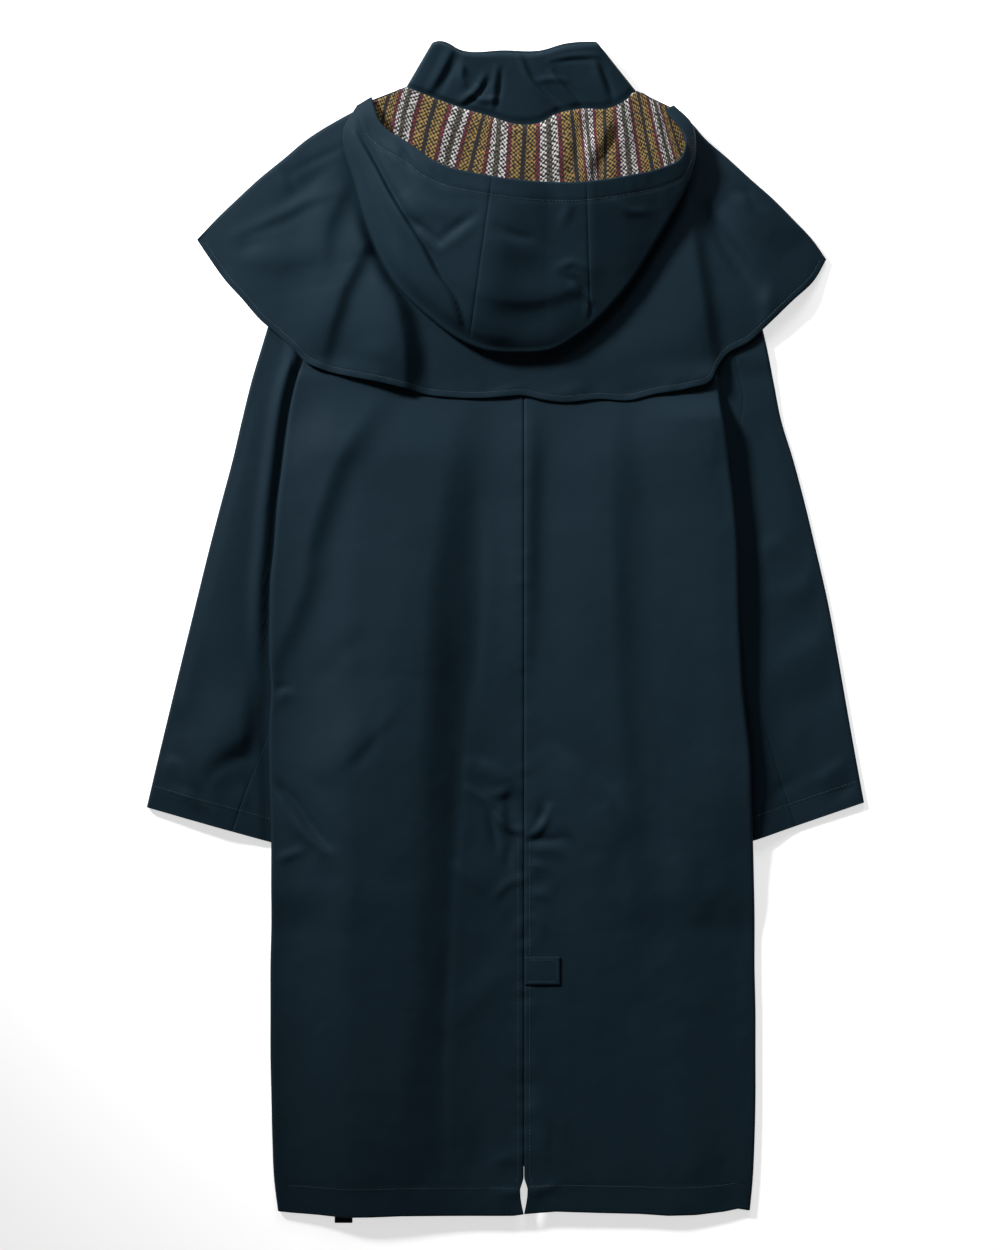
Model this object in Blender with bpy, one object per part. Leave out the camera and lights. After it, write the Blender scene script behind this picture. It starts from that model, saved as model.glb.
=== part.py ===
"""A long hooded raincoat with a shoulder cape, laid flat and face down.

All sizes below are millimetres in the coat's own flat pattern: x runs across from the centre-back seam
(the coat's left side is at -x), u runs up from the hem, z is the height above the surface it lies on.
Each piece of cloth is a wall of even thickness round a middle surface, worked out on a grid.
"""
import math
from collections import namedtuple

import bpy
import numpy as np

MM = 0.001

# ---------------------------------------------------------------- driving dimensions (mm)
CLOTH = 1.2             # thickness of the cloth wall
SEAM_GAP = 0.3          # space between two pieces where they are sewn together
LAY_GAP = 0.4           # space between a piece and the flat piece under it
FOLD_RADIUS = 3.0       # radius of the rolled side edges, at the middle of the wall
UNDERARM = 871.0        # height of the underarm above the hem
ARMHOLE_FOOT = 905.0    # height where the armhole leaves the side seam
SHOULDER = 1095.0       # height of the shoulder points
BODY_LOFT = 4.0         # extra height of the back over the front in the middle of the body
EDGE_LOFT = 0.6         # extra height of the back just inside its rolled side edges
SLEEVE_LOFT = 6.5       # extra height of the sleeve where it isn't covered
CAPE_HEIGHT = 17.0      # height of the cape where it lies on the body
CAPE_RIM = 3.6          # height of the cape's free corners
HOOD_LOFT = 27.0        # rise of the hood from its rolled bottom edge to its mouth
HOOD_ROLL = 6.5         # radius of the hood's rolled bottom edge
COLLAR_ROLL = 6.0       # radius of the collar's folded ends
LAP = 20.0              # how far each front laps past the centre
PARTING = 12.0          # how far each front stands back from the centre at its foot
CAPE_PARTING = 0.4      # half the space between the cape's fronts
CAPE_FRONT_INSET = 3.0  # how far the hem of the cape's fronts lies inside that of its back
CORNER_ROLL = 1.6       # how far the cape's rolled shoulder edge stands out past its seam

# Ramps: where a height begins to change and where it has changed fully.
BODY_RAMP = (4.0, 60.0)         # from the body's side edge inward
PLAIN_RAMP = (800.0, 860.0)     # the back grows flat again towards the cape, by height above the hem
CAPE_FRONT_RAMP = (-125.0, -62.0)   # above the hem of the cape: what lies on the cape's fronts
SLEEVE_RAMP = (-60.0, -28.0)    # across a sleeve's inner edge: what lies on a covered sleeve
CUFF_RAMP = (290.0, 345.0)      # past the cuff, by height above the hem
UNDERARM_RAMP = (880.0, 905.0)  # past the underarm, by height above the hem
CLEAR_RAMP = (8.0, 34.0)        # from the body's edge out over the free sleeve
PUFF_RAMP = (10.0, 40.0)        # the free sleeve's own loft, from the body's edge

# ---------------------------------------------------------------- tables
# One row for each level of the body: height, left edge, right edge.
BodyRow = namedtuple("BodyRow", "u left right")
BODY = [BodyRow(*row) for row in (
    (0, -260, 239), (32, -264, 242), (75, -266, 244), (120, -267, 245), (165, -268, 245),
    (210, -268, 245), (260, -268, 244), (305, -267, 244), (350, -267, 243), (395, -267, 242),
    (435, -268, 241), (475, -269, 240), (515, -269, 236), (550, -267, 232), (585, -269, 230),
    (625, -269, 228), (665, -268, 227), (705, -264, 226), (745, -261, 223), (785, -256, 218),
    (825, -251, 213), (855, -246, 208), (880, -240, 205), (905, -232, 203), (950, -231, 203),
    (1000, -229, 203), (1050, -227, 203), (1095, -226, 203))]

# The outlines at the neck and shoulders, as points (across, height) from left to right.
# The line of the shoulders and the back of the neck, which the backs are cut to.
NECKLINE = ((-226, 1095), (-160, 1137), (-118, 1166), (-97, 1167), (-67, 1159), (-36, 1150), (-10, 1142),
            (0, 1141), (13, 1142), (36, 1152), (61, 1157), (88, 1158), (110, 1162), (150, 1132), (203, 1095))
# The neck seam, where collar and hood meet on the back.
NECK_SEAM = ((-125, 1188), (-97, 1177), (-67, 1166), (-36, 1157), (-10, 1149), (0, 1148), (13, 1149),
             (36, 1160), (61, 1165), (88, 1165), (106, 1173), (119, 1184))
# The low front of the neck, which both fronts and the cape's fronts are cut to.
FRONT_NECK = ((-118, 1166), (-97, 1138), (-60, 1112), (-20, 1101), (20, 1101), (56, 1112), (91, 1138),
              (110, 1162))
# The top of the cape's back, just under the neck seam, and the neck of its fronts.
CAPE_NECK = ((-131, 1187), (-97, 1173), (-67, 1162), (-36, 1153), (-10, 1145), (0, 1144), (13, 1145),
             (36, 1156), (61, 1161), (88, 1161), (106, 1168), (125, 1183))
CAPE_FRONT_NECK = ((-131, 1187), (-121, 1166), (-101, 1136), (-62, 1109), (-20, 1098), (20, 1098), (58, 1109),
                   (95, 1136), (114, 1160), (125, 1183))

# One row for each section of a sleeve: outer edge (x, u), inner edge (x, u).
SleeveRow = namedtuple("SleeveRow", "outer_x outer_u inner_x inner_u")
SLEEVE_LEFT = [SleeveRow(*row) for row in (
    (-226.5, 1095, -232.5, 906), (-238, 1050, -237, 893), (-251, 1003, -240.5, 880), (-264, 958, -243, 868),
    (-276, 918, -243, 856), (-288, 878, -240, 842), (-298, 838, -222, 818), (-308, 795, -190, 775),
    (-320, 750, -160, 722), (-333, 700, -150, 662), (-347, 643, -163, 603), (-361, 586, -184, 543),
    (-377, 520, -212, 478), (-389, 470, -236, 429), (-399, 427, -254, 386))]
SLEEVE_RIGHT = [SleeveRow(*row) for row in (
    (203.5, 1095, 203.5, 908), (219, 1050, 205, 895), (233, 1003, 205.8, 881), (246, 958, 206.8, 868),
    (256, 918, 206, 855), (264, 878, 202, 841), (272, 838, 186, 818), (285, 795, 156, 775),
    (297, 750, 126, 722), (309, 700, 118, 662), (322, 643, 130, 603), (333, 583, 150, 545),
    (344, 520, 175, 478), (353, 470, 196, 429), (360, 432, 218, 383))]
BACK_SEAM_LEFT = 0.62   # place of the back seam across a sleeve, from its outer edge
BACK_SEAM_RIGHT = 0.50
FRONT_SEAM = 0.72       # place of the hidden seam on a sleeve's lower wall

# The cape: shoulder edges from the neck out to the corners, and the hem from corner to corner.
CAPE_SHOULDER_LEFT = ((-131, 1187), (-162, 1172), (-195, 1155), (-229, 1134), (-254, 1113), (-280, 1092),
                      (-303, 1071), (-326, 1049), (-346, 1028))
CAPE_SHOULDER_RIGHT = ((125, 1183), (146, 1171), (173, 1155), (192, 1134), (216, 1113), (239, 1092),
                       (263, 1071), (285, 1049), (305, 1028), (320, 1007))
CAPE_HEM = ((-346, 1028), (-332, 1007), (-317, 986), (-298, 965), (-279, 943), (-259, 926), (-244, 912),
            (-230, 898), (-210, 889), (-188, 883.5), (-159, 878), (-129, 871), (-99, 863), (-78, 861),
            (-48, 860), (-17, 862), (-1, 863), (17, 859), (38, 856), (81, 859), (110, 857.5), (138, 864),
            (173, 870), (198, 879), (204, 892), (213, 905), (240, 921), (253, 933), (283, 962), (308, 986),
            (320, 1007))

# The hood: the roll round its bottom edge and the free edge of its mouth, from left to right.
HOOD_ROLL_LINE = ((-176, 1168), (-190, 1143), (-178, 1085), (-162, 1032), (-134, 978), (-97, 942), (-61, 917),
                  (-41, 909), (-7, 906), (29, 909), (61, 927), (101, 966), (137, 1020), (159, 1058),
                  (177, 1097), (181, 1122), (177, 1148), (158, 1168))
HOOD_MOUTH = ((-162, 1176), (-152, 1148), (-118, 1122), (-92, 1103), (-41, 1089), (18, 1082), (61, 1082),
              (108, 1089), (146, 1099), (164, 1108), (171, 1128), (150, 1164))

# The outline of the collar's back above the neck seam, from left to right.
COLLAR_TOP = ((-97, 1236), (-83, 1235), (-68, 1227), (-20, 1226), (18, 1226), (43, 1233), (60, 1235),
              (78, 1235))
# The collar's folded ends: foot and top of each fold.
COLLAR_END_LEFT = ((-119.0, 1187.0), (-91.0, 1235.0))
COLLAR_END_RIGHT = ((112.5, 1184.0), (72.0, 1235.0))
# The collar's front parts on the surface: foot x, foot u, top x, top u.
COLLAR_FRONT_LEFT = ((-3.0, 1102.2, -3.0, 1188.0), (-32.0, 1105.0, -28.0, 1192.0),
                     (-61.0, 1113.4, -56.0, 1206.0), (-95.0, 1138.6, -78.0, 1224.0))
COLLAR_FRONT_RIGHT = ((90.0, 1138.6, 64.0, 1224.0), (57.0, 1113.4, 42.0, 1206.0),
                      (32.0, 1105.0, 24.0, 1192.0), (3.0, 1102.2, 3.0, 1188.0))

# The tab over the vent and the strap's end under the hem, as ranges across and up.
TAB_ACROSS, TAB_HEIGHT = (1.0, 38.0), (240.0, 269.0)
STRAP_ACROSS, STRAP_HEIGHT = (-200.0, -182.0), (-13.0, 60.0)

# The half width of the slit at the foot of the vent, by height.
VENT_SLIT = ((0, 0.2), (6, 1.4), (16, 3.2), (27, 4.2), (36, 2.6), (46, 0.2))

# The main folds: each is a soft ridge (height above 0) or trough (below 0) along a path.
Fold = namedtuple("Fold", "width height path")
BACK_FOLDS = [Fold(*row) for row in (
    (20, -3.0, ((-159, 835), (-188, 787), (-214, 736), (-224, 647))),
    (28, 3.5, ((-120, 820), (-140, 720), (-150, 600), (-140, 480))),
    (24, -4.5, ((-61, 792), (-78, 721), (-72, 647), (-76, 541), (-84, 403), (-100, 180), (-105, 30))),
    (34, 5.0, ((-135, 420), (-145, 300), (-150, 160), (-150, 20))),
    (26, 3.0, ((-34, 700), (-36, 560), (-40, 450))),
    (20, -2.5, ((20, 830), (12, 740), (9, 640))),
    (30, 4.0, ((62, 820), (66, 700), (78, 560), (84, 430))),
    (22, -4.0, ((110, 800), (112, 690), (124, 540), (128, 420))),
    (34, 4.5, ((170, 800), (176, 640), (182, 480), (190, 330))),
    (36, 4.0, ((80, 300), (95, 180), (90, 30))),
    (26, -2.5, ((180, 240), (170, 120), (160, 30))))]
CAPE_FOLDS = [Fold(*row) for row in (
    (20, 5.0, ((-215, 1085), (-240, 1010), (-232, 930))),
    (18, -6.0, ((-168, 1030), (-186, 975), (-205, 905))),
    (22, 6.0, ((-148, 1000), (-165, 930), (-165, 885))),
    (16, -6.0, ((-132, 985), (-122, 930), (-118, 875))),
    (26, 4.0, ((-88, 925), (-80, 868))),
    (24, 4.0, ((10, 900), (20, 862))),
    (34, 7.0, ((130, 990), (120, 920), (118, 865))),
    (18, -7.0, ((186, 1020), (200, 950), (206, 900))),
    (24, 7.0, ((225, 1040), (240, 985), (250, 940))))]
HOOD_FOLDS = [Fold(*row) for row in (
    (13, -5.0, ((-157, 1092), (-121, 1040), (-97, 1004), (-74, 966), (-60, 930))),
    (16, 5.0, ((-60, 1075), (-52, 1020), (-50, 960))),
    (20, -4.0, ((5, 1065), (5, 1010), (0, 975))),
    (20, 5.0, ((30, 965), (62, 975))),
    (22, -3.0, ((100, 1070), (90, 1010))))]

# How finely each piece is divided.
BACK_COLUMNS = 11
FRONT_COLUMNS = 7
BODY_ROLL_STEPS = 3
SLEEVE_STEPS = 7
CAPE_COLUMNS = 32
CAPE_ROWS = 9
CAPE_FRONT_COLUMNS = 7
HOOD_COLUMNS = 26
HOOD_SEAMS = (10, 16)   # columns of the hood's two seams
SEAMS_ON_ROLL = (0.424, 0.615)  # where those seams cross the rolled bottom edge, as shares of its length
COLLAR_ROWS = 4

# Colours as linear RGB, roughness.
Finish = namedtuple("Finish", "colour roughness")
NAVY_CLOTH = Finish((0.016, 0.030, 0.042), 0.55)
DARK_CLOTH = Finish((0.008, 0.012, 0.018), 0.6)
STRIPE_CLOTH = Finish((0.55, 0.50, 0.42), 0.85)


# ---------------------------------------------------------------- curves and heights
def smooth(value, low, high):
    """0 below low, 1 above high and a smooth S between."""
    share = np.clip((value - low) / (high - low), 0.0, 1.0)
    return share * share * (3.0 - 2.0 * share)


def line_at(points, x):
    """Height of an outline given as (across, height) points, at x."""
    table = np.array(points, dtype=float)
    return np.interp(x, table[:, 0], table[:, 1])


def body_edge(side, u):
    """The body's left (side -1) or right (side +1) edge at height u."""
    rows = np.array(BODY, dtype=float)
    return np.interp(u, rows[:, 0], rows[:, 1 if side < 0 else 2])


def along(points, shares):
    """Points at the given shares of the length of a line."""
    table = np.array(points, dtype=float)
    steps = np.hypot(*np.diff(table, axis=0).T)
    length = np.concatenate([[0.0], np.cumsum(steps)])
    place = np.asarray(shares) * length[-1]
    return np.stack([np.interp(place, length, table[:, axis]) for axis in (0, 1)], axis=-1)


def distance_to(points, x, u):
    """Distance from every (x, u) to a line, and the share of the line's length at the nearest place."""
    table = np.array(points, dtype=float)
    steps = np.hypot(*np.diff(table, axis=0).T)
    total = steps.sum()
    nearest = np.full(np.shape(x), 1e9)
    share = np.zeros(np.shape(x))
    before = 0.0
    for start, end, step in zip(table[:-1], table[1:], steps):
        way = (end - start) / step
        reach = np.clip((x - start[0]) * way[0] + (u - start[1]) * way[1], 0.0, step)
        gap = np.hypot(x - start[0] - reach * way[0], u - start[1] - reach * way[1])
        closer = gap < nearest
        nearest = np.where(closer, gap, nearest)
        share = np.where(closer, (before + reach) / total, share)
        before += step
    return nearest, share


def folds_at(folds, x, u):
    """Sum of all folds: a bell across each path, its height fading towards both ends."""
    total = np.zeros(np.shape(x))
    for fold in folds:
        gap, share = distance_to(fold.path, x, u)
        fade = 0.35 + 0.65 * np.sin(math.pi * np.clip(share, 0.02, 0.98))
        total += fold.height * fade * np.exp(-(gap / fold.width) ** 2)
    return total


# ---------------------------------------------------------------- heights of the layers (middle of the wall)
FLOOR = CLOTH / 2                       # a piece that lies on the surface
ON_CAPE = CLOTH + LAY_GAP               # lift of what lies on the cape's fronts
ON_SLEEVE = 5.4                         # lift of what lies on the flattened, covered part of a sleeve
SLEEVE_FLAT = 3.0                       # between the walls of the covered part of a sleeve
BODY_FLAT = 2 * FOLD_RADIUS             # between front and back at the body's edges
HOOD_BASE = CAPE_HEIGHT + CLOTH + LAY_GAP   # the hood's lower wall


def over_cape(x, u):
    """1 where a piece lies on the cape's fronts, falling to 0 past their hem."""
    hem = line_at(CAPE_HEM, x)
    return smooth(u - hem, *CAPE_FRONT_RAMP)


def over_sleeve(x, u):
    """1 where the front lies on a covered sleeve, falling to 0 past its inner edge and past its cuff."""
    lift = np.zeros(np.shape(x))
    for side, rows in ((-1, SLEEVE_LEFT), (1, SLEEVE_RIGHT)):
        table = np.array([(row.inner_u, row.inner_x) for row in rows][::-1], dtype=float)
        inner = np.interp(u, table[:, 0], table[:, 1])
        inside = (x - inner) * side
        lift = np.maximum(lift, smooth(inside, *SLEEVE_RAMP))
    return lift * smooth(u, *CUFF_RAMP) * (1.0 - smooth(u, *UNDERARM_RAMP))


def front_height(x, u):
    """Middle of the fronts: on the surface, or on the sleeves and the cape's fronts."""
    return FLOOR + ON_CAPE * over_cape(x, u) + ON_SLEEVE * over_sleeve(x, u)


def back_height(x, u):
    """Middle of the backs: over the fronts, raised in the middle of the body, with the main folds."""
    edge = np.minimum(x - body_edge(-1, u), body_edge(1, u) - x)
    inward = smooth(edge, *BODY_RAMP)
    plain = 1.0 - smooth(u, *PLAIN_RAMP)
    raised = np.maximum(folds_at(BACK_FOLDS, x, u), -BODY_LOFT * 0.8)
    return front_height(x, u) + BODY_FLAT + inward * (EDGE_LOFT + (BODY_LOFT + raised) * plain)


def cape_height(x, u):
    """Middle of the cape's back: high on the body and sleeves, falling to its corners."""
    cover = 1.0
    for side, rows in ((-1, SLEEVE_LEFT), (1, SLEEVE_RIGHT)):
        table = np.array([(row.outer_u, row.outer_x) for row in rows][::-1], dtype=float)
        outside = (x - np.interp(u, table[:, 0], table[:, 1])) * side
        cover = cover * (1.0 - smooth(outside, 6.0, 55.0))
    above = u - line_at(NECKLINE, x)
    cover = cover * (1.0 - 0.75 * smooth(above, 12.0, 60.0))
    beside = outside_hood(x, u)
    folds = folds_at(CAPE_FOLDS, x, u)
    ridges = np.maximum(folds, 0.0) * smooth(beside, 14.0, 45.0)
    troughs = np.maximum(np.minimum(folds, 0.0), -1.0) * smooth(beside, -20.0, 10.0)
    return CAPE_RIM + (CAPE_HEIGHT - CAPE_RIM) * cover + (ridges + troughs) * (0.35 + 0.65 * cover)


def outside_hood(x, u):
    """Distance from the hood's rolled edge, above 0 outside it and below 0 under it."""
    low = HOOD_ROLL_LINE[1:-2]
    under = (x > low[0][0]) & (x < low[-1][0]) & (u > line_at(low, x))
    return distance_to(HOOD_ROLL_LINE, x, u)[0] * np.where(under, -1.0, 1.0)


# ---------------------------------------------------------------- walls of cloth
def tangents(grid, axis):
    """Direction along one way of a grid: the mean of the unit steps before and after each point."""
    step = np.diff(grid, axis=axis)
    step /= np.maximum(np.linalg.norm(step, axis=2, keepdims=True), 1e-9)
    first, last = np.take(step, [0], axis=axis), np.take(step, [-1], axis=axis)
    return np.concatenate([first, step], axis=axis) + np.concatenate([step, last], axis=axis)


def normals(grid):
    """Unit normals of a grid of points, from its two directions."""
    normal = np.cross(tangents(grid, 1), tangents(grid, 0))
    return normal / np.maximum(np.linalg.norm(normal, axis=2, keepdims=True), 1e-9)


def trim(grid, edges, amount=SEAM_GAP / 2):
    """Move the named edges of a grid inward along the surface, to leave the seam's gap."""
    grid = grid.copy()
    picks = {"first_row": (np.s_[0], np.s_[1]), "last_row": (np.s_[-1], np.s_[-2]),
             "first_col": (np.s_[:, 0], np.s_[:, 1]), "last_col": (np.s_[:, -1], np.s_[:, -2])}
    for edge in edges:
        rim, inner = picks[edge]
        way = grid[inner] - grid[rim]
        grid[rim] += way / np.linalg.norm(way, axis=-1, keepdims=True) * amount
    return grid


def wall(name, middle, finish, facing=None, thickness=CLOTH):
    """A closed wall of cloth round a grid of middle points; facing gives ready normals."""
    normal = normals(middle) if facing is None else facing
    rows, columns = middle.shape[:2]
    skins = [middle + normal * thickness / 2, middle - normal * thickness / 2]
    points = np.concatenate([skin.reshape(-1, 3) for skin in skins])
    index = np.arange(rows * columns).reshape(rows, columns)
    corner = [index[:-1, :-1], index[:-1, 1:], index[1:, 1:], index[1:, :-1]]
    halves = [np.stack([corner[pick] for pick in three], axis=-1) for three in ((0, 1, 2), (0, 2, 3))]
    outer = np.concatenate([half.reshape(-1, 3) for half in halves])
    inner = outer[:, ::-1] + rows * columns
    loop = np.concatenate([index[0, :-1], index[:-1, -1], index[-1, :0:-1], index[:0:-1, 0]])
    after = np.roll(loop, -1)
    rim = np.stack([after, loop, loop + rows * columns, after + rows * columns], axis=-1)
    mesh = bpy.data.meshes.new(name)
    mesh.from_pydata((points * MM).tolist(), [], outer.tolist() + inner.tolist() + rim.tolist())
    mesh.validate()
    item = bpy.data.objects.new(name, mesh)
    bpy.context.collection.objects.link(item)
    mesh.materials.append(material(name, finish))
    mesh.shade_smooth()
    return item


def material(name, finish):
    """A plain finish for one piece."""
    made = bpy.data.materials.new(name + "_cloth")
    made.use_nodes = True
    shader = made.node_tree.nodes["Principled BSDF"]
    shader.inputs["Base Color"].default_value = (*finish.colour, 1.0)
    shader.inputs["Roughness"].default_value = finish.roughness
    shader.inputs["Metallic"].default_value = 0.0
    return made


# ---------------------------------------------------------------- the body
def slit(u):
    """Half width of the opening at the foot of the vent."""
    return np.interp(u, [row[0] for row in VENT_SLIT], [row[1] for row in VENT_SLIT])


def body_grid(side, start, level, top_line, roll, columns):
    """Points and normals across one half of the body, from its middle to its rolled side edge.

    start is where the panel begins across, level its height function, top_line its upper edge, and roll
    is +1 for a panel that rolls down to the side seam and -1 for one that rolls up to it.
    """
    rows = np.array([row.u for row in BODY], dtype=float)[:, None]
    edge = body_edge(side, rows)
    turn = (math.pi / 2) * (1.0 - smooth(rows, UNDERARM, ARMHOLE_FOOT))
    flat = np.abs(edge - start) - FOLD_RADIUS * np.sin(turn)
    run = FOLD_RADIUS * math.pi / 2
    total = flat + FOLD_RADIUS * turn
    shares = np.linspace(0.0, 1.0, columns)[None, :]
    steps = np.arange(1, BODY_ROLL_STEPS + 1)[None, :] / BODY_ROLL_STEPS
    place = np.concatenate([shares * (total - run), total - run + steps * run], axis=1)
    bend = np.clip((place - flat) / FOLD_RADIUS, 0.0, turn)
    straight = np.minimum(place, flat)
    unrolled = np.where(turn < 1e-6, place - straight, 0.0)
    across = start + side * (straight + unrolled + FOLD_RADIUS * np.sin(bend))
    stretch = np.clip((rows - ARMHOLE_FOOT) / (SHOULDER - ARMHOLE_FOOT), 0.0, 1.0)
    height = rows + stretch * (top_line(across) - SHOULDER)
    z = level(across, height) - roll * FOLD_RADIUS * (1.0 - np.cos(bend))
    grid = np.stack([across, height, z], axis=-1)
    normal = normals(grid)
    normal = normal * np.where(normal[..., 2:3] < 0, -1.0, 1.0) * roll
    rolled = np.stack([side * np.sin(bend), np.zeros_like(bend), roll * np.cos(bend)], axis=-1)
    return grid, np.where(bend[..., None] > 1e-3, rolled, normal)


def body_panel(name, side, start, level, top_line, roll, columns):
    """One back or front, trimmed along its side and top for their seams; it faces away from the body."""
    middle, facing = body_grid(side, start, level, top_line, roll, columns)
    middle = trim(middle, ["last_row", "last_col"])
    if side * roll < 0:
        middle, facing = middle[:, ::-1], facing[:, ::-1]
    wall(name, middle, NAVY_CLOTH, facing)


def back_top(x):
    """Top of the backs: the shoulder line and the back of the neck."""
    return line_at(NECKLINE, x)


def front_top(x):
    """Top of the fronts: the shoulder line, and the low front of the neck between its ends."""
    inside = (x > FRONT_NECK[0][0]) & (x < FRONT_NECK[-1][0])
    return np.where(inside, line_at(FRONT_NECK, x), line_at(NECKLINE, x))


def make_backs():
    rows = np.array([row.u for row in BODY], dtype=float)[:, None]
    for side, name in ((-1, "back_left"), (1, "back_right")):
        start = side * (SEAM_GAP / 2 + slit(rows))
        body_panel(name, side, start, back_height, back_top, 1, BACK_COLUMNS)


def make_fronts():
    """The right front lies under the left one by the lap, and both part at the foot of the vent."""
    rows = np.array([row.u for row in BODY], dtype=float)[:, None]
    part = smooth(rows, 60.0, 110.0)
    right_start = PARTING - (PARTING + LAP) * part
    left_start = -PARTING + (PARTING + LAP) * part

    def lapped_level(x, u):
        lapped = smooth(x, -LAP - 60.0, -LAP - 20.0) * smooth(u, 10.0, 60.0)
        return front_height(x, u) + (CLOTH + LAY_GAP) * lapped

    body_panel("front_right", 1, right_start, front_height, front_top, -1, FRONT_COLUMNS)
    body_panel("front_left", -1, left_start, lapped_level, front_top, -1, FRONT_COLUMNS)


# ---------------------------------------------------------------- sleeves
def sleeve_ring(row, side, first):
    """Middle points right round one section of a sleeve.

    The ring starts at the hidden seam on the lower wall, runs out and round the outer edge, back over
    the top, and round the inner edge to where it began.
    """
    outer = np.array([row.outer_x, row.outer_u], dtype=float)
    inner = np.array([row.inner_x, row.inner_u], dtype=float)
    width = np.hypot(*(inner - outer))
    way = (inner - outer) / width
    out_rim = BODY_FLAT / 2

    def space(place):
        """Space between the walls: flat under the body, full where the sleeve shows."""
        plan = outer + way * place[:, None]
        clear = (plan[:, 0] - body_edge(side, plan[:, 1])) * side
        raised = np.maximum(smooth(clear, *CLEAR_RAMP), smooth(plan[:, 1], *UNDERARM_RAMP))
        puffed = smooth(place, 0.0, 40.0) * smooth(width - place, 0.0, 30.0) * smooth(clear, *PUFF_RAMP)
        return SLEEVE_FLAT + (BODY_FLAT - SLEEVE_FLAT) * raised + (0.0 if first else SLEEVE_LOFT) * puffed

    rim = space(np.array([width]))[0] / 2
    low = np.linspace(FRONT_SEAM * width, out_rim, SLEEVE_STEPS)
    high = np.linspace(out_rim, width - rim, 2 * SLEEVE_STEPS)
    tail = np.linspace(width - rim, FRONT_SEAM * width, SLEEVE_STEPS // 2 + 1)
    turns = np.radians((45.0, 90.0, 135.0))
    gap = space(high)
    turn_out = (out_rim - out_rim * np.sin(turns), gap[0] / 2 * (1 - np.cos(turns)))
    turn_in = (width - rim + rim * np.sin(turns), gap[-1] / 2 * (1 + np.cos(turns)))
    place = np.concatenate([low, turn_out[0], high, turn_in[0], tail])
    rise = np.concatenate([0 * low, turn_out[1], gap, turn_in[1], 0 * tail])
    plan = outer + way * place[:, None]
    base = FLOOR + ON_CAPE * over_cape(plan[:, 0], plan[:, 1])
    return np.column_stack([plan, base + rise])


def make_sleeve(name, rows, side, back_seam):
    """Top sleeve round the outer edge, under sleeve round the inner edge, split at the back seam."""
    grid = np.array([sleeve_ring(row, side, index == 0) for index, row in enumerate(rows)])
    facing = normals(grid)
    if side > 0:
        facing = -facing
    seam = SLEEVE_STEPS + 3 + int(round(back_seam * (2 * SLEEVE_STEPS - 1)))
    for part, columns in (("top", slice(0, seam + 1)), ("under", slice(seam, None))):
        piece = trim(grid[:, columns], ["first_row", "first_col", "last_col"])
        normal = facing[:, columns]
        if side > 0:
            piece, normal = piece[:, ::-1], normal[:, ::-1]
        wall(name + "_" + part, piece, NAVY_CLOTH, normal)


# ---------------------------------------------------------------- cape
def coons(left, right, top, bottom):
    """Grid between four edges: top and bottom run left to right, left and right run top to bottom."""
    s = np.linspace(0, 1, len(left))[:, None, None]
    t = np.linspace(0, 1, len(top))[None, :, None]
    sides = (1 - t) * left[:, None] + t * right[:, None]
    ends = (1 - s) * top[None] + s * bottom[None]
    corners = ((1 - s) * (1 - t) * top[0] + (1 - s) * t * top[-1]
               + s * (1 - t) * bottom[0] + s * t * bottom[-1])
    return sides + ends - corners


def rolled_edge(grid, rim_z):
    """Add a first column that rolls straight up or down at the edge, and give the grid's normals."""
    step = grid[:, 0, :2] - grid[:, 1, :2]
    step /= np.linalg.norm(step, axis=1, keepdims=True)
    rim = np.column_stack([grid[:, 0, :2], rim_z])
    grid = grid.copy()
    grid[:, 0, :2] -= step * CORNER_ROLL
    shoulder = grid[:, 0].copy()
    shoulder[:, :2] += step * CORNER_ROLL * 0.7
    shoulder[:, 2] += (rim_z - shoulder[:, 2]) * 0.3
    grid = np.concatenate([rim[:, None], shoulder[:, None], grid], axis=1)
    tangent = np.gradient(grid[:, 0, :2], axis=0)
    out = np.column_stack([tangent[:, 1], -tangent[:, 0]])
    out *= np.sign((out * step).sum(axis=1, keepdims=True))
    out /= np.linalg.norm(out, axis=1, keepdims=True)
    return grid, np.column_stack([out, 0 * rim_z])


def cape_edge_z(points):
    """Height of the shoulder edge's seam, half way between the cape's back and its front."""
    return (cape_height(points[:, 0], points[:, 1]) + FLOOR) / 2


def make_cape_back():
    rows = np.linspace(0, 1, CAPE_ROWS + 1)
    columns = np.linspace(0, 1, CAPE_COLUMNS + 1)
    left, right = along(CAPE_SHOULDER_LEFT, rows), along(CAPE_SHOULDER_RIGHT, rows)
    plan = coons(left, right, along(CAPE_NECK, columns), along(CAPE_HEM, columns))
    grid = np.concatenate([plan, cape_height(plan[..., 0], plan[..., 1])[..., None]], axis=-1)
    grid, left_out = rolled_edge(grid, cape_edge_z(left) + SEAM_GAP / 2)
    grid, right_out = rolled_edge(grid[:, ::-1], cape_edge_z(right) + SEAM_GAP / 2)
    normal = normals(grid)
    normal *= np.where(normal[..., 2:3] < -0.05, -1.0, 1.0)
    normal[:, 0], normal[:, -1] = right_out, left_out
    wall("cape_back", grid, NAVY_CLOTH, normal)


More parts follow.
